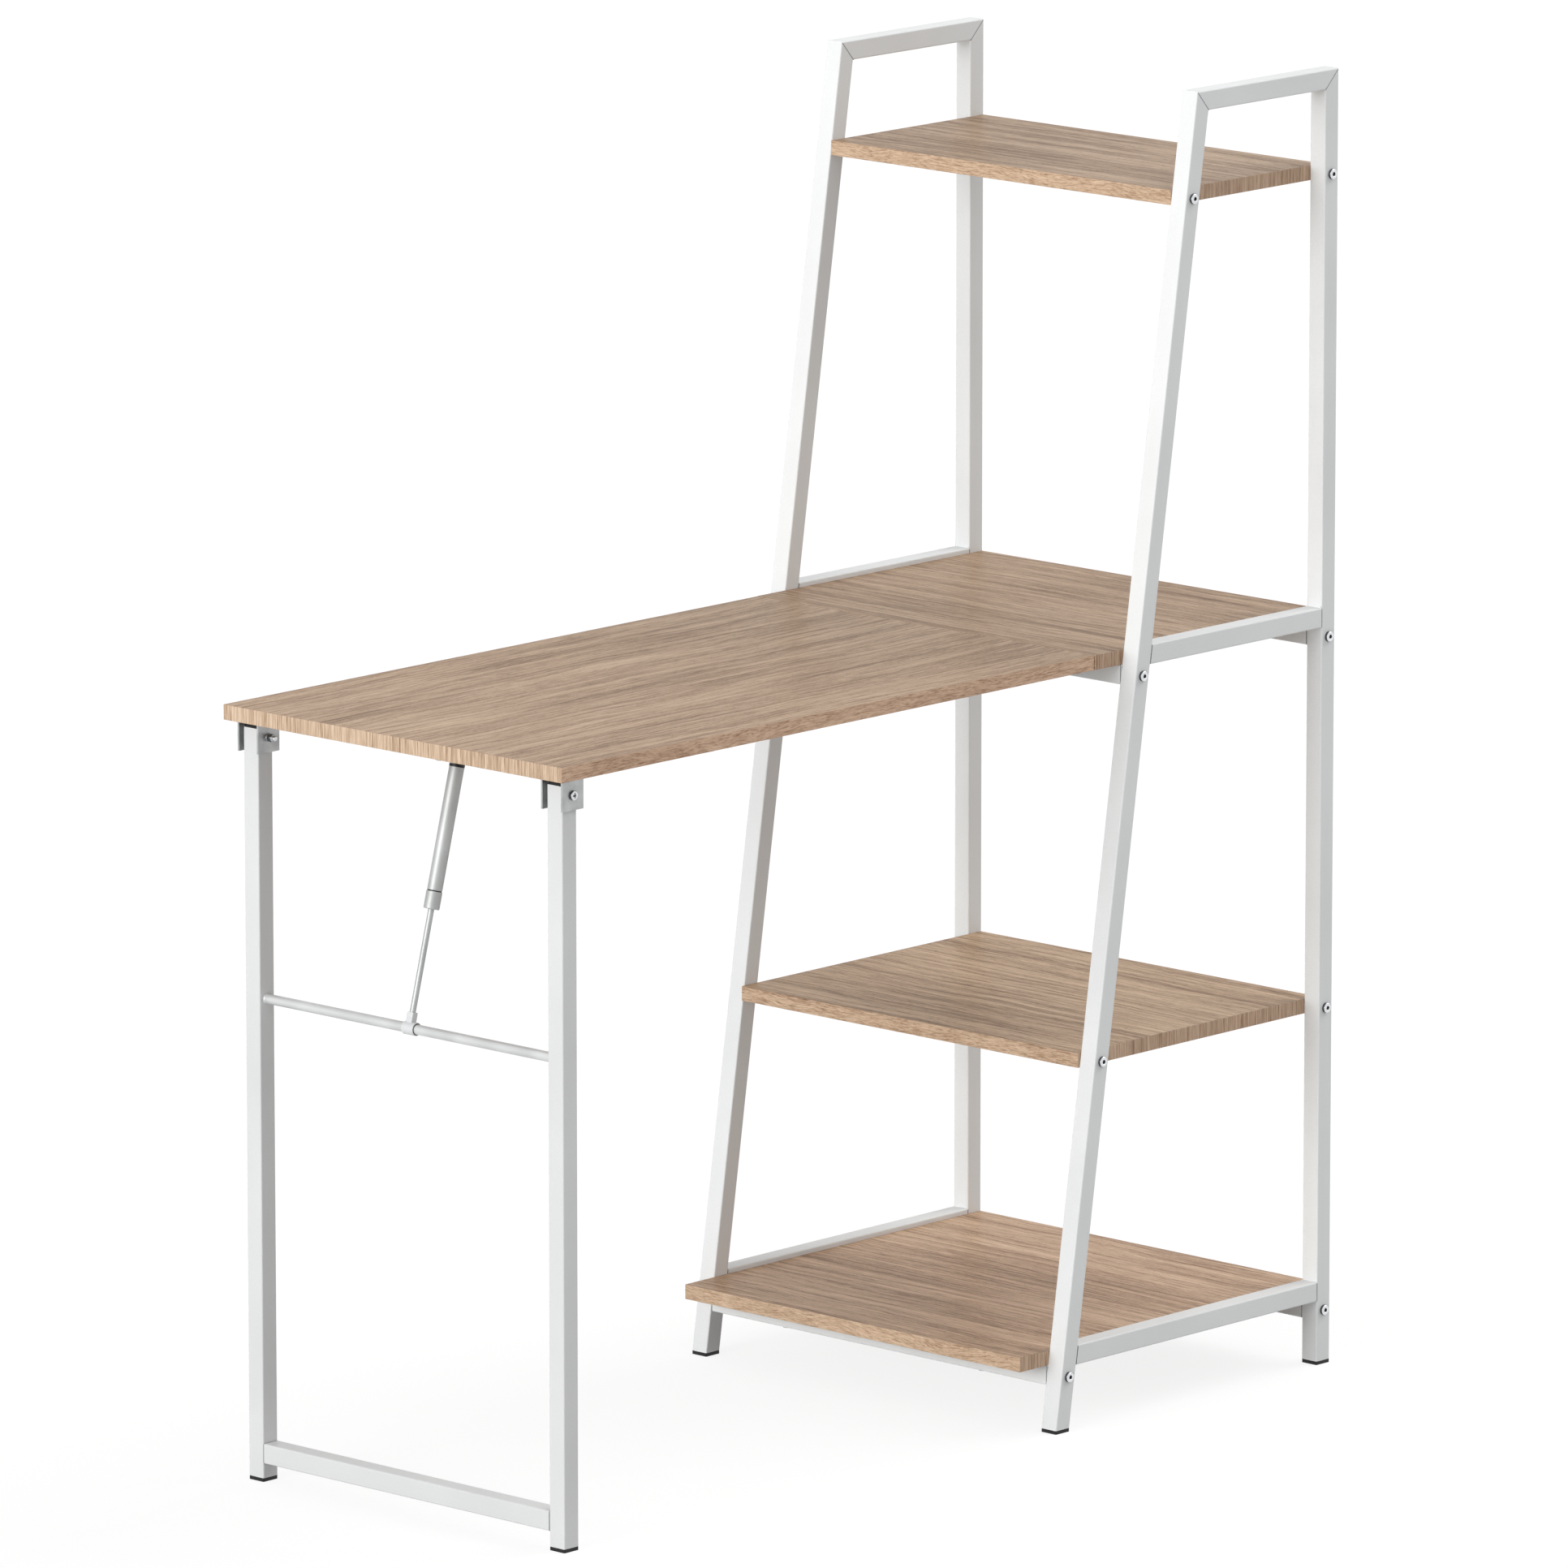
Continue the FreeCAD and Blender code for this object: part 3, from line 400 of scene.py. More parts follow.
def wood_figure(wood, across, along, level, waviness, layers):
    """Oak figure from 0, pale, to 1, dark, and its relief.
    across and along are places across and along the grain in metres. Each layer is a noise
    stretched along the grain and added with its strength. A slow noise and a quicker one push the
    layers sideways by about the waviness, and fine pores are added last."""
    def cloud(across_fineness, along_fineness, shift, detail):
        place = wood.joined(
            wood.math("MULTIPLY_ADD", across, across_fineness, shift),
            wood.math("MULTIPLY_ADD", along, along_fineness, shift_along * shift),
            level)
        clouds = wood.noise(place, detail=detail, roughness=cloud_roughness)
        return wood.math("SUBTRACT", clouds, figure_middle)

    sway = cloud(*sway_cloud)
    ripple = cloud(*ripple_cloud)
    figure = wood.math("MULTIPLY_ADD", cloud(*broad_cloud), broad_strength, figure_middle)
    both = wood.math("MULTIPLY_ADD", sway, sway_push, wood.math("MULTIPLY", ripple, ripple_push))
    across = wood.math("ADD", across, wood.math("MULTIPLY", both, waviness))
    for number, (across_fineness, along_fineness, detail, strength) in enumerate(layers):
        layer = cloud(across_fineness, along_fineness, first_layer_shift + number, detail)
        figure = wood.math("MULTIPLY_ADD", layer, strength, figure)
    pores = wood.spread(cloud(*pore_cloud), *pore_range)
    figure = wood.math("MULTIPLY_ADD", pores, pore_strength, figure)
    return figure, wood.math("SUBTRACT", 1.0, figure)


def wood_colours(shades, tint=untinted):
    """Ramp stops: the place of each shade, and the shade multiplied by a tint."""
    tinted = [tuple(part * factor for part, factor in zip(shade, tint)) for shade in shades]
    return tuple(zip(shade_places, tinted))


def board_face(name, grain_axis, level, tint):
    """Flat faces of a board, grain along X or Y. The level gives each board its own figure."""
    smoothest, roughest = 0.36, 0.46
    wood = Recipe(name, roughness=0.4, specular=0.08)
    x, y, z = wood.parts(wood.here)
    depth = wood.math("MULTIPLY_ADD", z, depth_fineness, level)
    across, along = (x, y) if grain_axis == "Y" else (y, x)
    figure, relief = wood_figure(wood, across, along, depth, face_waviness, face_layers)
    wood.colour(wood.ramp(figure, wood_colours(face_shades, tint)))
    wood.rough(wood.spread(relief, *relief_range, roughest, smoothest))
    wood.bump(relief, *wood_relief)
    return wood.material


def board_edge(name, grain_axis, level, long_tint, end_tint):
    """Edge strip: grain along the edges that run with it, and upright lines on the edges that cut
    across it. Its top and bottom lines take the tone of the board's faces. How far a face is
    turned to the side or up, from 0 to 1, tells which of the three it is."""
    turned_sideways, turned_up = (0.45, 0.55), (0.5, 0.8)
    wood = Recipe(name, roughness=0.48, specular=0.25)
    x, y, z = wood.parts(wood.here)
    facing = wood.parts(wood.facing)
    across_grain, run, cross = (facing[0], y, x) if grain_axis == "Y" else (facing[1], x, y)
    is_long = wood.spread(wood.math("ABSOLUTE", across_grain), *turned_sideways)
    upright = wood.math("MULTIPLY", z, upright_share)
    place = wood.choose(is_long, wood.joined(cross, upright, level), wood.joined(z, run, level))
    across, along, depth = wood.parts(place)
    waviness = wood.spread(is_long, 0.0, 1.0, end_waviness, long_waviness)
    figure, relief = wood_figure(wood, across, along, depth, waviness, edge_layers)
    edge = wood.mix(is_long, wood.ramp(figure, wood_colours(edge_shades, end_tint)),
                    wood.ramp(figure, wood_colours(edge_shades, long_tint)))
    is_flat = wood.spread(wood.math("ABSOLUTE", facing[2]), *turned_up)
    wood.colour(wood.mix(is_flat, edge, wood.ramp(figure, wood_colours(face_shades))))
    wood.bump(relief, *wood_relief)
    return wood.material


# Relief of scratches and drawn lines on metal

metal_relief = (0.05, 0.0002)


def darkened(shade, share):
    """A shade brought down to a share of itself."""
    return tuple(share * part for part in shade)


def head_steel(name, shade, painted_shade_tone, face_place, shift=0.0):
    """Bolt heads across the width of the desk: a bright face, and a side and socket darkened with
    painted shade and a painted dark reflection. The painted shade follows the depth below the face,
    in metres. The face lies face_place from the middle once y is shifted."""
    painted_shade_from, painted_shade_to = (0.0003, 0.0009), (0.0030, 0.0036)
    scratch_fineness, scratch_shade = (1100.0, 300.0, 1100.0), 0.93
    smoothest, roughest = 0.24, 0.36
    steel = Recipe(name, metallic=0.85, roughness=0.3)
    from_middle = steel.math("ABSOLUTE", steel.math("ADD", steel.parts(steel.here)[1], shift))
    below = steel.math("SUBTRACT", face_place, from_middle)
    # Painted shade and painted dark reflection: darker from just below the face, down the side wall
    # and into the socket
    painted_shade = steel.math("MULTIPLY", steel.spread(below, *painted_shade_from),
                      steel.spread(below, *painted_shade_to, 1.0, 0.0))
    scratches = steel.noise(steel.stretched(*scratch_fineness))
    bright = steel.mix(steel.spread(scratches, *narrow),
                       linear(*shade), linear(*darkened(shade, scratch_shade)))
    steel.colour(steel.mix(painted_shade, bright, linear(*painted_shade_tone)))
    steel.rough(steel.spread(scratches, *wide, smoothest, roughest))
    steel.bump(scratches, *metal_relief)
    return steel.material


def plated_sheet(name, shade, roughness, line_fineness):
    """Zinc plating: metal with fine lines drawn along y and faint cloudy patches."""
    line_stretch = 0.08
    patch_fineness, patch_shade = 60.0, 0.86
    smoother, rougher = 0.07, 0.08
    zinc = Recipe(name, metallic=0.85, roughness=roughness)
    lines = zinc.noise(
        zinc.stretched(line_fineness, line_fineness * line_stretch, line_fineness))
    zinc.patches(patch_fineness, 2.0, wide, shade, darkened(shade, patch_shade))
    zinc.rough(zinc.spread(lines, *wide, roughness - smoother, roughness + rougher))
    zinc.bump(lines, *metal_relief)
    return zinc.material


def moulded_plastic(name, shade, roughness, coat):
    """Moulded plastic with a very fine texture and slightly uneven gloss."""
    skin_fineness, patch_fineness = 700.0, 40.0
    skin_relief = (0.06, 0.0002)
    patch_lift = 8.0
    smoother, rougher = 0.05, 0.07
    plastic = Recipe(name, roughness=roughness, coat=coat, specular=0.3)
    skin = plastic.noise(plastic.here, skin_fineness)
    lighter = tuple(min(255.0, part + patch_lift) for part in shade)
    plastic.patches(patch_fineness, 1.0, narrow, shade, lighter)
    plastic.rough(plastic.spread(skin, *wide, roughness - smoother, roughness + rougher))
    plastic.bump(skin, *skin_relief)
    return plastic.material


def turned_metal(name, shade, roughness, metallic):
    """Satin turned metal: faint bands of roughness one above the other."""
    band_fineness, unevenness = (90.0, 90.0, 1400.0), 0.012
    patch_fineness, patch_shade = 25.0, 0.93
    metal = Recipe(name, metallic=metallic, roughness=roughness)
    bands = metal.noise(metal.stretched(*band_fineness), detail=1.0)
    metal.patches(patch_fineness, 1.0, narrow, shade, darkened(shade, patch_shade))
    metal.rough(metal.spread(bands, *wide, roughness - unevenness, roughness + unevenness))
    return metal.material


# Sizes of the desk that the new pieces share with it, in metres

tube = 0.020
board = 0.015
frame_y = 0.248
inner_y = 0.228
back_x = 0.5485
frame_height = 1.323
front_foot_x = 0.134
front_top_x = 0.336
desk_underside = 0.759
bottom_underside = 0.066
top_shelf_height = 1.225
middle_shelf_height = 0.376
leg_inner_y = 0.194
bar_x = -0.524
bar_z = 0.483
bar_radius = 0.005
pin_z = 0.748
strut_lean = 0.2694
pin_x = bar_x + strut_lean * (pin_z - bar_z)
lean_slope = (front_top_x - front_foot_x) / frame_height
post_run = tube * math.sqrt(1.0 + lean_slope ** 2)


def front_face_x(z):
    """Front face of the leaning post at height z."""
    return front_foot_x + lean_slope * z


# Surfaces. A surface is its points and its blocks of faces

soft_angle = math.radians(32.0)
corner_points = 5
line_points = 12
usual_sides = 72
fine_sides = 96
thin_sides = 64

# Roundings of corners, in metres

crisp = 0.0001
slight = 0.0002
eased = 0.0003
rounded = 0.0004
blunt = 0.0009


def add_piece(name, surface, material, body, replaced=()):
    """Mesh object from a surface, smooth except at sharp edges, riding on a body."""
    verts, faces = surface
    mesh = bpy.data.meshes.new(name)
    mesh.from_pydata(verts.tolist(), [], [face for block in faces for face in block.tolist()])
    mesh.polygons.foreach_set("use_smooth", np.ones(len(mesh.polygons), dtype=bool))
    mesh.set_sharp_from_angle(angle=soft_angle)
    mesh.materials.append(material)
    piece = bpy.data.objects.new(name, mesh)
    bpy.context.scene.collection.objects.link(piece)
    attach(piece, body)
    if replaced:
        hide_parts(*replaced)


def softened(*corners, closed=False):
    """Outline through corners, each (distance, radius, rounding); a curve takes each corner off.
    Point t of a corner P between A and B is (1-t)^2 A + 2t(1-t) P + t^2 B; A and B lie one
    rounding away. An open outline keeps its first and last points, which are on the axis."""
    rows = np.array(corners, dtype=float)
    points, rounding = rows[:, :2], rows[:, 2:3]
    before = np.roll(points, 1, axis=0) - points
    after = np.roll(points, -1, axis=0) - points
    near = points + rounding * before / np.linalg.norm(before, axis=1, keepdims=True)
    far = points + rounding * after / np.linalg.norm(after, axis=1, keepdims=True)
    t = np.linspace(0.0, 1.0, corner_points)[None, :, None]
    curve = (1 - t) ** 2 * near[:, None] + 2 * t * (1 - t) * points[:, None] + t ** 2 * far[:, None]
    if closed:
        return curve.reshape(-1, 2)
    return np.vstack((points[:1], curve[1:-1].reshape(-1, 2), points[-1:]))


def squared_off(start, end, low, high, low_rounding, high_rounding):
    """Closed outline of a ring from start to end and from radius low to radius high."""
    return softened((start, low, low_rounding), (start, high, high_rounding),
                    (end, high, high_rounding), (end, low, low_rounding), closed=True)


def with_wall(outside, *inside):
    """Outline whose first part is plain and whose last rows follow the wall of a socket."""
    return np.vstack((np.column_stack((outside, np.zeros(len(outside)))), np.array(inside)))


def grid_faces(rows, columns, closed_rows=False):
    """Four-sided faces between neighbouring rows of points, closed round the columns."""
    row, column = np.meshgrid(np.arange(rows if closed_rows else rows - 1), np.arange(columns),
                              indexing="ij")
    following = (column + 1) % columns
    above = (row + 1) % rows
    corners = (row * columns + column, row * columns + following,
               above * columns + following, above * columns + column)
    return np.stack(corners, axis=-1).reshape(-1, 4)


def pole_faces(rows, columns):
    """Triangles from the first row to the point after the grid, and from the last row to the
    point after that."""
    column = np.arange(columns)
    following = (column + 1) % columns
    last = (rows - 1) * columns
    first_pole = np.full(columns, rows * columns)
    first_fan = np.stack((first_pole, following, column), axis=1)
    last_fan = np.stack((first_pole + 1, last + column, last + following), axis=1)
    return np.vstack((first_fan, last_fan))


def across_axis(axis):
    """Unit vectors along an axis and two across it; an axis mostly along y takes x first."""
    axis = np.array(axis, dtype=float) / np.linalg.norm(axis)
    along_y = abs(axis[1]) >= 0.9
    aside = np.array((1.0, 0.0, 0.0)) if along_y else np.cross(axis, (0.0, 1.0, 0.0))
    aside = aside / np.linalg.norm(aside)
    return axis, aside, np.cross(axis, aside)


def turned_surface(outline, start, axis, sides, wall):
    """Outline carried round an axis: a point lies s along the axis and r from it, at every angle.
    Where the outline has a third value of 1, the wall gives the radius at each angle, as in a
    socket, and r only scales it."""
    axis, aside, third = across_axis(axis)
    angle = np.linspace(0.0, 2 * np.pi, sides, endpoint=False)
    radius = np.repeat(outline[:, 1:2], sides, axis=1)
    if wall is not None:
        radius = np.where(outline[:, 2:3] > 0.5, radius * wall(angle)[None, :], radius)
    ring = np.cos(angle)[None, :, None] * aside + np.sin(angle)[None, :, None] * third
    along = np.array(start) + outline[:, 0][:, None, None] * axis
    return (along + radius[..., None] * ring).reshape(-1, 3)


def turned_body(outline, start, axis, sides=usual_sides, wall=None):
    """Solid turned about an axis; the first and last outline points are on the axis."""
    middle = outline[1:-1]
    ends = np.array(start) + outline[[0, -1], 0][:, None] * across_axis(axis)[0]
    verts = np.vstack((turned_surface(middle, start, axis, sides, wall), ends))
    return verts, [grid_faces(len(middle), sides), pole_faces(len(middle), sides)]


def turned_ring(outline, start, axis, sides=usual_sides, wall=None):
    """Sleeve, collar or nut turned about an axis from a closed outline."""
    verts = turned_surface(outline, start, axis, sides, wall)
    return verts, [grid_faces(len(outline), sides, closed_rows=True)]


def collected(surfaces):
    """Several surfaces as one."""
    verts, faces, first = [], [], 0
    for part_verts, part_faces in surfaces:
        verts.append(part_verts)
        faces += [block + first for block in part_faces]
        first += len(part_verts)
    return np.vstack(verts), faces


def line_profile(width, height):
    """Half an ellipse of a width and a height, with half that height below the surface: places
    along the surface and above it."""
    turn = np.linspace(0.0, 2 * np.pi, line_points, endpoint=False)
    lift = np.where(np.sin(turn) > 0, height, 0.5 * height) * np.sin(turn)
    return width / 2 * np.cos(turn), lift


def tube_ring(center, axis, half, corner, width, height):
    """Thin line round a square tube's end: the line's profile carried along the tube's outline.
    The outline point at angle a is (half - corner) times the signs of cos a and sin a, plus
    corner times (cos a, sin a). Nothing stands out behind the desk's back, so the line sinks into
    a tube that lies there."""
    axis, aside, third = across_axis(axis)
    quarter = np.repeat(np.arange(4), corner_points)
    angle = (quarter + np.tile(np.linspace(0.0, 1.0, corner_points), 4)) * np.pi / 2
    sign = np.stack((np.array((1, -1, -1, 1))[quarter], np.array((1, 1, -1, -1))[quarter]), axis=1)
    facing = np.stack((np.cos(angle), np.sin(angle)), axis=1)
    path = (half - corner) * sign + corner * facing
    beside, lift = line_profile(width, height)
    flat = path[None] + lift[:, None, None] * facing[None]
    verts = (np.array(center) + flat[..., :1] * aside + flat[..., 1:] * third
             + beside[:, None, None] * axis).reshape(-1, 3)
    verts[:, 0] = np.minimum(verts[:, 0], back_x - height)
    return verts, [grid_faces(len(lift), len(path), closed_rows=True)[:, ::-1]]


def face_line(start, end, out, width, height):
    """Thin line on a flat face: the line's profile carried from start to end, closed there."""
    start, end, out = (np.array(value, dtype=float) for value in (start, end, out))
    side = np.cross(end - start, out)
    side = side / np.linalg.norm(side)
    beside, lift = line_profile(width, height)
    section = beside[:, None] * side + lift[:, None] * out
    verts = np.vstack((start + section, end + section, start, end))
    return verts, [grid_faces(2, len(lift))[:, ::-1], pole_faces(2, len(lift))[:, ::-1]]


def hexagon(across_flats):
    """Radius of a hexagon at each angle: half the flats over the cosine from a flat's middle."""
    def radius(angle):
        return across_flats / 2 / np.cos((angle % (np.pi / 3)) - np.pi / 6)
    return radius


def cross_slot(reach, half_width):
    """Radius of a plus-shaped slot at each angle: the arm's end near its axis, its side further
    round, whichever is less."""
    least_sine = 1e-6

    def radius(angle):
        off = np.abs((angle + np.pi / 4) % (np.pi / 2) - np.pi / 4)
        end = reach / np.cos(off)
        side = half_width / np.maximum(np.sin(off), least_sine)
        return np.minimum(end, side)
    return radius


# Bolts of the side frames

bolt_radius = 0.003
bolt_length = 0.032
bolt_tail_rounding = 0.0005
bolt_head_radius = 0.00525
bolt_rim_height = 0.0026
bolt_head_height = 0.0033
bolt_face_radius = 0.0046
socket_flats = 0.004
socket_depth = 0.0022


def bolt_outline():
    """Shank, rounded head and the socket down its middle; the last rows follow the hexagon and
    give their share of it."""
    outside = softened(
        (-bolt_length, 0.0, 0.0),
        (-bolt_length, bolt_radius, bolt_tail_rounding),
        (0.0, bolt_radius, crisp),
        (0.0, bolt_head_radius, slight),
        (bolt_rim_height, bolt_head_radius, eased),
        (bolt_head_height, bolt_face_radius, rounded),
        (bolt_head_height, 0.0, 0.0),
    )[:-1]
    floor = bolt_head_height - socket_depth
    return with_wall(
        outside,
        (bolt_head_height, 1.10, 1),
        (bolt_head_height - slight, 1.0, 1),
        (floor + crisp, 0.98, 1),
        (floor, 0.90, 1),
        (floor, 0.0, 1),
    )


def add_frame_bolts():
    """One bolt at each height on both posts of each side frame."""
    rear_x = back_x - tube / 2
    heights = (top_shelf_height - board / 2, middle_shelf_height - board / 2,
               desk_underside - tube / 2, bottom_underside - tube / 2)
    places = [(x, z) for z in heights for x in (rear_x, front_face_x(z) + post_run / 2)]
    for name, side in (("right", -1), ("left", 1)):
        verts, faces = turned_body(bolt_outline(), (0.0, side * frame_y, 0.0), (0.0, side, 0.0),
                                   wall=hexagon(socket_flats))
        bolts = collected([(verts + np.array((x, 0.0, z)), faces) for x, z in places])
        add_piece(name + "_button_bolts", bolts, frame_bolt_steel, "shelf_unit",
                  [name + "_frame_bolts"])


# Pivot bolts of the legs

pivot_x = -0.5215
pivot_z = 0.742
pivot_head_radius = 0.0047
pivot_head_height = 0.0028
pivot_rim = 0.0006
right_head_y = -0.2163
left_head_y = 0.2200
pivot_length = 0.0378
pivot_tail = 0.0043
pivot_tail_radius = 0.0025
pivot_tail_rounding = 0.0007
slot_depth = 0.0014
slot_reach = 0.0026
slot_half_width = 0.0007


def add_pivot_bolts():
    """Pan heads with a cross slot: flat top, well rounded rim. The last rows follow the slot and
    give their share of it."""
    tail = -pivot_length + pivot_tail
    outside = softened(
        (-pivot_length, 0.0, 0.0),
        (-pivot_length, pivot_tail_radius, pivot_tail_rounding),
        (tail, pivot_tail_radius, crisp),
        (tail, bolt_radius, crisp),
        (0.0, bolt_radius, crisp),
        (0.0, pivot_head_radius, eased),
        (pivot_head_height - pivot_rim, pivot_head_radius, rounded),
        (pivot_head_height, pivot_head_radius - pivot_rim, eased),
        (pivot_head_height, 0.0, 0.0),
    )[:-1]
    outline = with_wall(
        outside,
        (pivot_head_height, 1.06, 1),
        (pivot_head_height - slight, 1.0, 1),
        (pivot_head_height - slot_depth, 0.6, 1),
        (pivot_head_height - slot_depth, 0.0, 1),
    )
    bolts = collected([
        turned_body(outline, (pivot_x, y, pivot_z), (0.0, np.sign(y), 0.0), fine_sides,
                    cross_slot(slot_reach, slot_half_width))
        for y in (right_head_y, left_head_y)])
    add_piece("cross_head_pivot_bolts", bolts, pivot_bolt_steel, "leaf",
              ["pivot_bolts"])


washer_radius = 0.0046
washer_height = 0.0010
nut_flats = 0.0070
nut_height = 0.0050
nut_chamfer = 0.0006


def add_pivot_nuts():
    """Washer and hexagon nut on the inner side of each leg bracket; the nut's corners are taken off
    at its end. The nut is finished in a darkened zinc, a painted shade."""
    bore = bolt_radius + crisp
    nut_start = washer_height - crisp
    nut_shoulder, nut_face = 0.98 * nut_flats / 2, 0.96 * nut_flats / 2
    washer = softened(
        (0.0, bore, crisp),
        (0.0, washer_radius, slight),
        (washer_height, washer_radius, eased),
        (washer_height, bore, crisp),
        closed=True,
    )
    nut = np.array((
        (nut_start, bore, 0),
        (nut_start, 1.0, 1),
        (nut_height - nut_chamfer, 1.0, 1),
        (nut_height - slight, nut_shoulder, 0),
        (nut_height, nut_face, 0),
        (nut_height, bore, 0),
    ))
    low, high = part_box("pivot_nuts")
    starts = [((pivot_x, y, pivot_z), (0.0, inward, 0.0))
              for y, inward in ((low[1], 1.0), (high[1], -1.0))]
    washers = collected([turned_ring(washer, start, inward) for start, inward in starts])
    add_piece("pivot_washers", washers, bright_zinc, "leaf", ["pivot_nuts"])
    nuts = collected([turned_ring(nut, start, inward, wall=hexagon(nut_flats))
                      for start, inward in starts])
    add_piece("hexagon_pivot_nuts", nuts, shaded_nut_steel, "leaf")


# Gas strut: places along its line from the round bar, and radii

strut_foot = np.array((bar_x, 0.0, bar_z))
strut_run = np.array((pin_x - bar_x, 0.0, pin_z - bar_z))
strut_length = float(np.linalg.norm(strut_run))
strut_axis = strut_run / strut_length
boss_end = 0.0156
collar_from = boss_end + 0.368 * strut_length
cylinder_from = collar_from + 0.0184
cylinder_to = strut_length - 0.018
groove_from = cylinder_from - 0.0009
rod_from = boss_end - 0.006
rod_to = cylinder_from + 0.013
end_wall = 0.004
rod_radius = 0.003
rod_hole = rod_radius + 0.00016
collar_radius = 0.0079
groove_radius = 0.0068
cylinder_radius = 0.0075
cylinder_bore = 0.0063
ring_wall = 0.0008
strut_rings = (
    (cylinder_to - 0.0006, cylinder_to + 0.0030, cylinder_radius + 0.0002),
    (groove_from, cylinder_from, cylinder_radius - 0.0004),
)


def add_strut():
    """Rod, collar, cylinder and two black rings turned about the strut's line, each with softened
    corners. One ring sits on the cylinder's upper end, the other lies in the collar's groove."""
    rod = softened(
        (rod_from, 0.0, 0.0),
        (rod_from, rod_radius, rounded),
        (rod_to, rod_radius, rounded),
        (rod_to, 0.0, 0.0),
    )
    add_piece("bright_strut_rod", turned_body(rod, strut_foot, strut_axis, thin_sides),
              chrome, "strut_lower", ["piston_rod"])

    collar_to = cylinder_from - crisp
    collar = softened(
        (collar_from, rod_hole, eased),
        (collar_from, collar_radius, blunt),
        (groove_from, collar_radius, rounded),
        (groove_from, groove_radius, crisp),
        (collar_to, groove_radius, crisp),
        (collar_to, rod_hole, eased),
        closed=True,
    )
    add_piece("strut_end_collar", turned_ring(collar, strut_foot, strut_axis, fine_sides),
              silver, "strut_upper", ["strut_collar"])

    cylinder = softened(
        (cylinder_to - end_wall, 0.0, 0.0),
        (cylinder_to - end_wall, cylinder_bore, eased),
        (cylinder_from, cylinder_bore, eased),
        (cylinder_from, cylinder_radius, rounded),
        (cylinder_to, cylinder_radius, blunt),
        (cylinder_to, 0.0, 0.0),
    )
    add_piece("satin_strut_cylinder", turned_body(cylinder, strut_foot, strut_axis, fine_sides),
              silver, "strut_upper", ["cylinder_tube"])

    rings = [squared_off(start, end, radius - ring_wall, radius, crisp, slight)
             for start, end, radius in strut_rings]
    surface = collected([turned_ring(ring, strut_foot, strut_axis, fine_sides) for ring in rings])
    add_piece("black_strut_rings", surface, black, "strut_upper")


clip_right_end = -0.0095
clip_left_end = 0.0060
clip_radius = 0.0065
clip_bore = 0.0051
clip_rounding = 0.0005
# Black rings at the sleeve's ends: painted shade of the crevice between clip and bar
shade_ring_from = -0.0002
shade_ring_to = 0.0004
shade_ring_radius = clip_radius - 0.0008
boss_half_depth = 0.00375
boss_half_width = 0.0040
boss_power = 9.0
boss_rounding = 0.0006
saddle_radius = 0.0058


def bar_clip_boss():
    """Boss of the bar clip: a rounded rectangle carried up the strut's line.
    Its section at angle a has radius (|cos a / depth|^9 + |sin a / width|^9)^(-1/9). Its foot is
    a saddle at sqrt(R^2 - x^2) above the bar's centre, inside the sleeve's wall, and its upper
    rim is a quarter circle."""
    axis, depth_way, width_way = across_axis(strut_axis)
    angle = np.linspace(0.0, 2 * np.pi, fine_sides, endpoint=False)
    radius = (np.abs(np.cos(angle) / boss_half_depth) ** boss_power
              + np.abs(np.sin(angle) / boss_half_width) ** boss_power) ** (-1 / boss_power)
    section = np.stack((radius * np.cos(angle), radius * np.sin(angle)), axis=1)
    foot = np.sqrt(saddle_radius ** 2 - section[:, 0] ** 2)
    turn = np.linspace(0.0, np.pi / 2, corner_points)
    shrink = 1.0 - boss_rounding / boss_half_width * (1.0 - np.cos(turn))
    rise = boss_end - boss_rounding * (1.0 - np.sin(turn))
    heights = np.vstack((foot, np.repeat(rise[:, None], len(angle), axis=1)))
    scale = np.concatenate(((1.0,), shrink))
    flat = scale[:, None, None] * section[None]
    points = (strut_foot + heights[..., None] * axis
              + flat[..., :1] * depth_way + flat[..., 1:] * width_way)
    ends = strut_foot + np.array((saddle_radius, boss_end))[:, None] * axis
    rows = len(heights)
    faces = [grid_faces(rows, len(angle)), pole_faces(rows, len(angle))]
    return np.vstack((points.reshape(-1, 3), ends)), faces


def add_bar_clip():
    """Sleeve turned about the round bar with the boss on it, and a thin black ring at each end, a
    painted shade of the crevice between the clip and the bar.
    """
    sleeve = softened(
        (clip_right_end, clip_bore, slight),
        (clip_right_end, clip_radius, clip_rounding),
        (clip_left_end, clip_radius, clip_rounding),
        (clip_left_end, clip_bore, slight),
        closed=True,
    )
    clip = collected([turned_ring(sleeve, strut_foot, (0.0, 1.0, 0.0)), bar_clip_boss()])
    add_piece("moulded_bar_clip", clip, white, "strut_lower",
              ["strut_bar_clip"])

    shade_ring = squared_off(shade_ring_from, shade_ring_to, clip_bore, shade_ring_radius, crisp, slight)
    shade_rings = collected([turned_ring(shade_ring, (bar_x, end, bar_z), (0.0, np.sign(end), 0.0))
                      for end in (clip_right_end, clip_left_end)])
    add_piece("bar_clip_end_shade_rings", shade_rings, black, "strut_lower")


flare = 0.0007
flare_length = 0.0009
flare_rounding = 0.0007


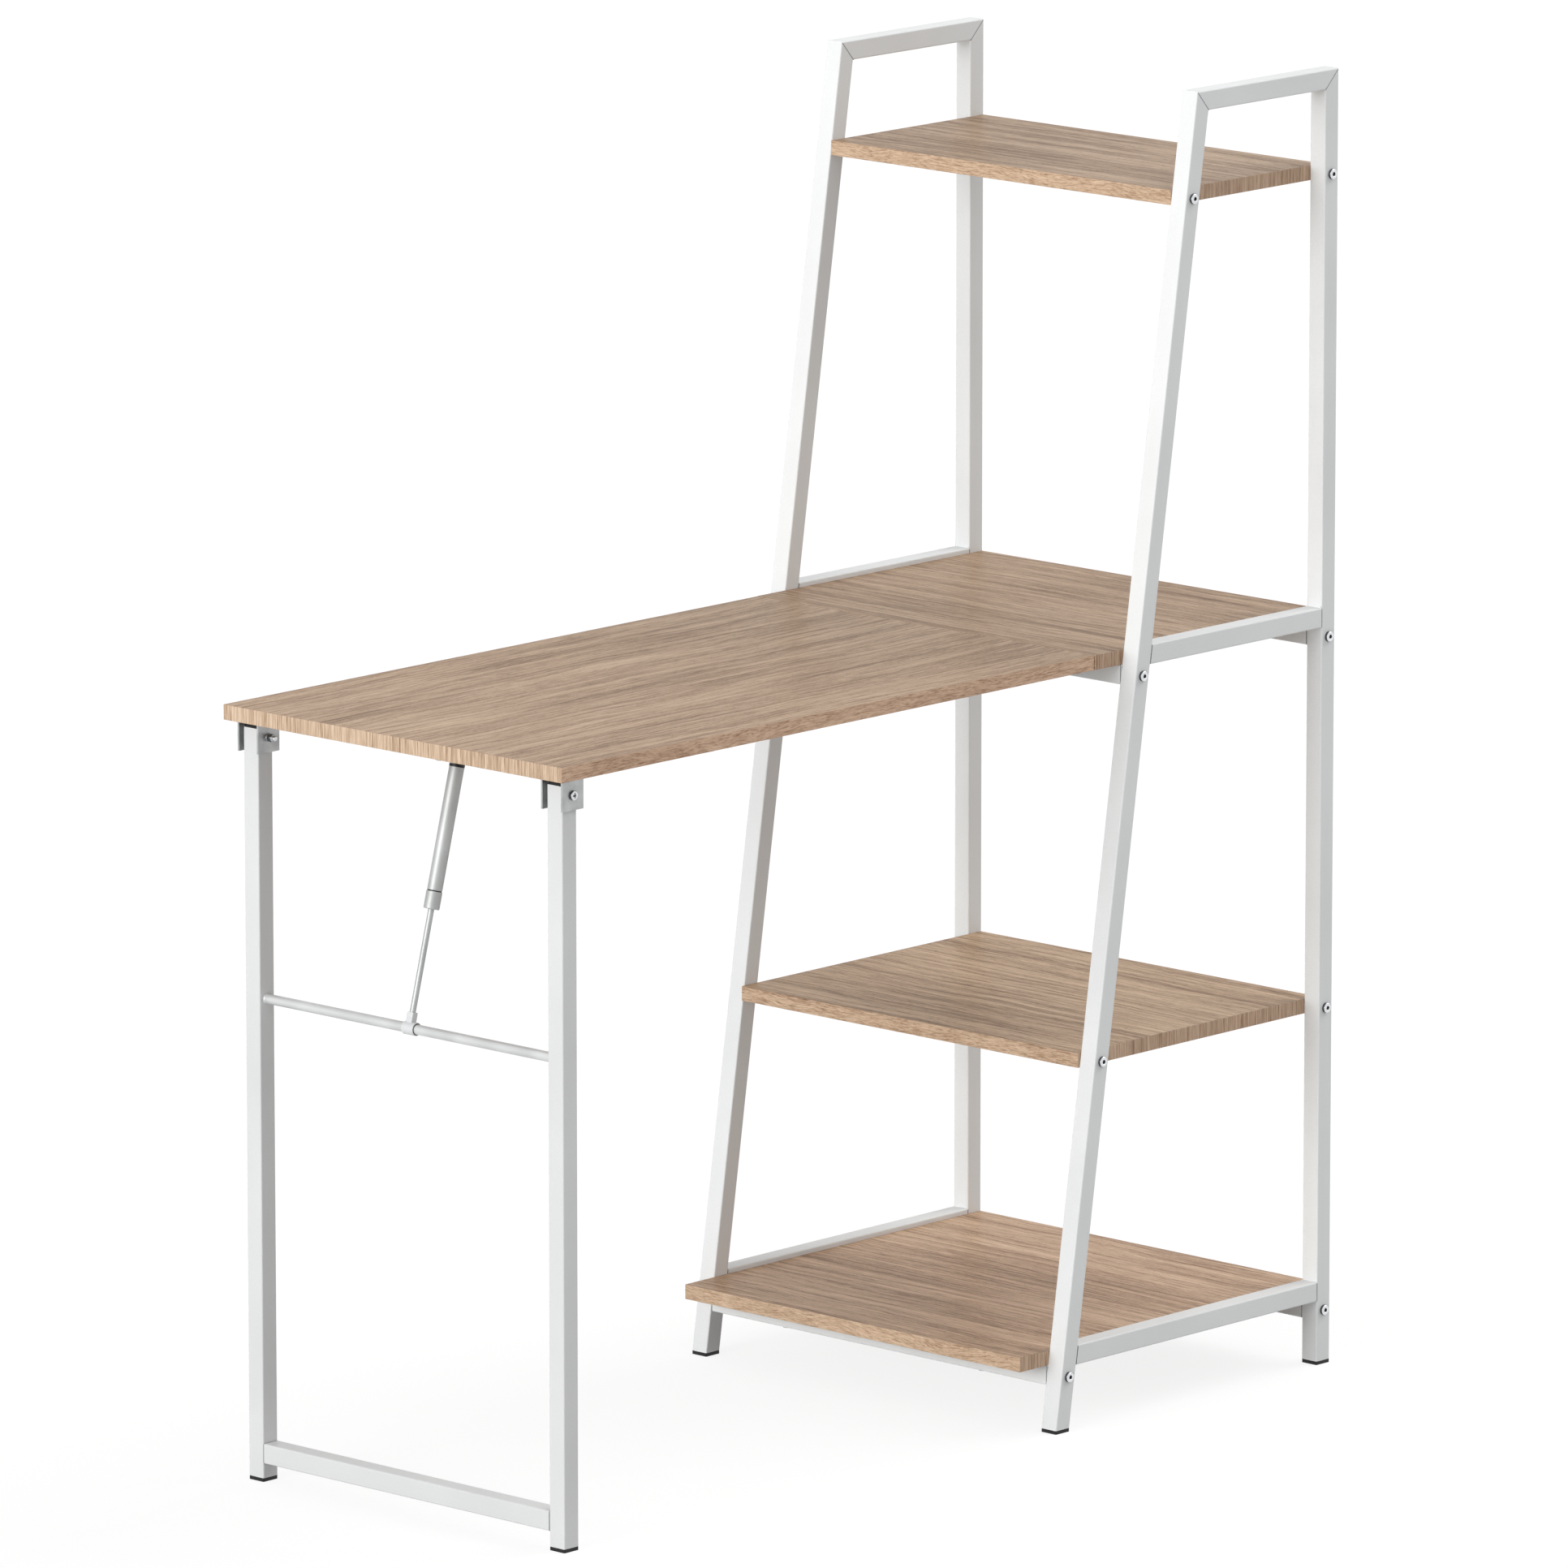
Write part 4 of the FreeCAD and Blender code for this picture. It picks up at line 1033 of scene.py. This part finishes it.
def add_round_bar():
    """Round bar between the legs, flared a little where it is welded to them."""
    bar = softened(
        (-leg_inner_y, 0.0, 0.0),
        (-leg_inner_y, bar_radius + flare, crisp),
        (-leg_inner_y + flare_length, bar_radius, flare_rounding),
        (leg_inner_y - flare_length, bar_radius, flare_rounding),
        (leg_inner_y, bar_radius + flare, crisp),
        (leg_inner_y, 0.0, 0.0),
    )
    add_piece("welded_round_bar",
              turned_body(bar, (bar_x, 0.0, bar_z), (0.0, 1.0, 0.0), thin_sides),
              bar_finish, "leg_frame", ["leg_round_bar"])


# Thin dark lines where tubes meet

line_width = 0.0007
line_height = 0.00015
line_inset = 0.0008
mitre_inset = 0.0010
ring_width = 0.0008
ring_height = 0.0001
ring_inset = 0.0004
tube_corner = 0.0015


def add_frame_joints():
    """Mitres and rail ends on both faces of each side frame."""
    top, below = frame_height, frame_height - tube
    mitre_top = top - mitre_inset
    runs = [
        ((front_face_x(top) + line_inset, mitre_top), (front_face_x(below) + post_run, below)),
        ((back_x - mitre_inset, mitre_top), (back_x - tube, below)),
    ]
    for rail_top in (desk_underside + tube, bottom_underside + tube):
        low = rail_top - tube + line_inset
        high = rail_top - line_inset
        runs.append(((front_face_x(low) + post_run, low), (front_face_x(high) + post_run, high)))
        runs.append(((back_x - tube, low), (back_x - tube, high)))
    lines = collected([
        face_line((x0, y, z0), (x1, y, z1), (0.0, out, 0.0), line_width, line_height)
        for side in (-1, 1)
        for y, out in ((side * frame_y, side), (side * inner_y, -side))
        for (x0, z0), (x1, z1) in runs])
    add_piece("side_frame_joints", lines, joint_paint, "shelf_unit")


def add_rail_joints():
    """Lines round the ends of the cross rails and of the leg frame's bottom rail."""
    cross_rails = ("desk_front_cross_rail", "desk_rear_cross_rail",
                   "base_front_cross_rail", "base_rear_cross_rail")
    for name, rails, end_y, body in (
        ("cross_rail_joints", cross_rails, inner_y, "shelf_unit"),
        ("leg_rail_joints", ("leg_bottom_rail",), leg_inner_y, "leg_frame"),
    ):
        rings = []
        for rail in rails:
            low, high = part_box(rail)
            x, z = (low[0] + high[0]) / 2, (low[2] + high[2]) / 2
            rings += [tube_ring((x, y, z), (0.0, 1.0, 0.0), tube / 2, tube_corner,
                                ring_width, ring_height)
                      for y in (-end_y + ring_inset, end_y - ring_inset)]
        add_piece(name, collected(rings), joint_paint, body)


# Finishes of the desk

paint = powder_coat("frame_paint", (242, 244, 244), (225, 227, 227))
# The legs take a darker copy of the frame's white: painted shade
shaded_leg_paint = powder_coat("shaded_leg_paint", (231, 232, 232), (211, 212, 212))
joint_paint = powder_coat("joint_shadow", (112, 115, 118), (84, 87, 90))
bright_zinc = plated_sheet("bolt_zinc", (206, 208, 210), 0.30, 700.0)
# The second shade given to each kind of bolt head is the painted shade of its side and socket
frame_bolt_steel = head_steel("frame_bolt_steel", (232, 234, 236), (86, 89, 92),
                              frame_y + bolt_head_height)
pivot_bolt_steel = head_steel("pivot_bolt_steel", (226, 228, 230), (80, 83, 86),
                              (left_head_y - right_head_y) / 2 + pivot_head_height,
                              shift=-(left_head_y + right_head_y) / 2)
sheet_zinc = plated_sheet("bracket_zinc", (192, 194, 194), 0.40, 900.0)
# The nuts take a darkened copy of the plated zinc: painted shade on their sides
shaded_nut_steel = plated_sheet("shaded_nut_steel", (120, 122, 124), 0.30, 700.0)
plain_zinc = plated_sheet("hardware_zinc", (214, 216, 218), 0.26, 700.0)
black = moulded_plastic("black_plastic", (11, 11, 12), 0.40, 0.05)
white = moulded_plastic("white_plastic", (222, 224, 225), 0.40, 0.1)
inner = moulded_plastic("inner_plastic", (40, 40, 42), 0.6, 0.0)
silver = turned_metal("strut_silver", (191, 193, 192), 0.50, metallic=0.5)
chrome = turned_metal("rod_chrome", (188, 190, 190), 0.50, metallic=0.7)
bar_finish = turned_metal("round_bar_finish", (221, 222, 222), 0.38, metallic=0.35)
by_slot = {
    "frame_paint": paint,
    "bolt_zinc": bright_zinc,
    "bracket_zinc": sheet_zinc,
    "hardware_zinc": plain_zinc,
    "black_plastic": black,
    "white_plastic": white,
    "inner_plastic": inner,
    "strut_silver": silver,
    "rod_chrome": chrome,
}

# Tints of the boards, partly painted light: the middle and bottom shelves are made lighter to make
# up for the shade of the boards above them. Levels far apart give each board its own figure

shelf_tints_and_painted_light = {
    "top_shelf": (0.98, 0.985, 0.975),
    "desk_shelf": (1.015, 1.015, 0.995),
    # Painted light: lighter tints against the shade under the upper boards
    "middle_shelf": (1.11, 1.12, 1.095),
    "bottom_shelf": (1.15, 1.15, 1.14),
}
shelf_end_tint = (0.975, 0.97, 0.98)
leaf_tint = (1.04, 1.045, 1.03)
leaf_long_tint = (1.04, 1.015, 1.02)
leaf_end_tint = (1.04, 1.06, 1.08)
shelf_level_step = 5.3
leaf_level = 21.3


def finish_node(name, material):
    """Material in place of what a node carries."""
    mesh = nodes[name].data
    mesh.materials.clear()
    mesh.materials.append(material)


def finish_carried_nodes():
    """Every node that stays gets the material of its slot, and each board its own figure."""
    for entry in frame["record"]["subparts"]:
        slot = entry["material_slot"]
        if slot in by_slot:
            # Leg tubes get the darker, painted-shade copy of the frame paint
            of_legs = "leg_" in entry["node"] and slot == "frame_paint"
            finish_node(entry["node"], shaded_leg_paint if of_legs else by_slot[slot])
    for number, (shelf, tint) in enumerate(shelf_tints_and_painted_light.items()):
        level = shelf_level_step * number
        finish_node(shelf, board_face(shelf + "_face", "Y", level, tint))
        finish_node(shelf + "_edge_band",
                    board_edge(shelf + "_edge", "Y", level, untinted, shelf_end_tint))
    finish_node("leaf_board", board_face("leaf_face", "X", leaf_level, leaf_tint))
    finish_node("leaf_edge_band",
                board_edge("leaf_edge", "X", leaf_level, leaf_long_tint, leaf_end_tint))


set_camera()
set_sky()
add_sun("key_lamp", key_strength, key_from, key_softness)
add_sun("back_lamp", back_strength, back_from, back_softness)
add_floor()
finish_carried_nodes()
add_frame_bolts()
add_pivot_bolts()
add_pivot_nuts()
add_strut()
add_bar_clip()
add_round_bar()
add_frame_joints()
add_rail_joints()

bpy.context.scene.view_settings.view_transform = "Standard"
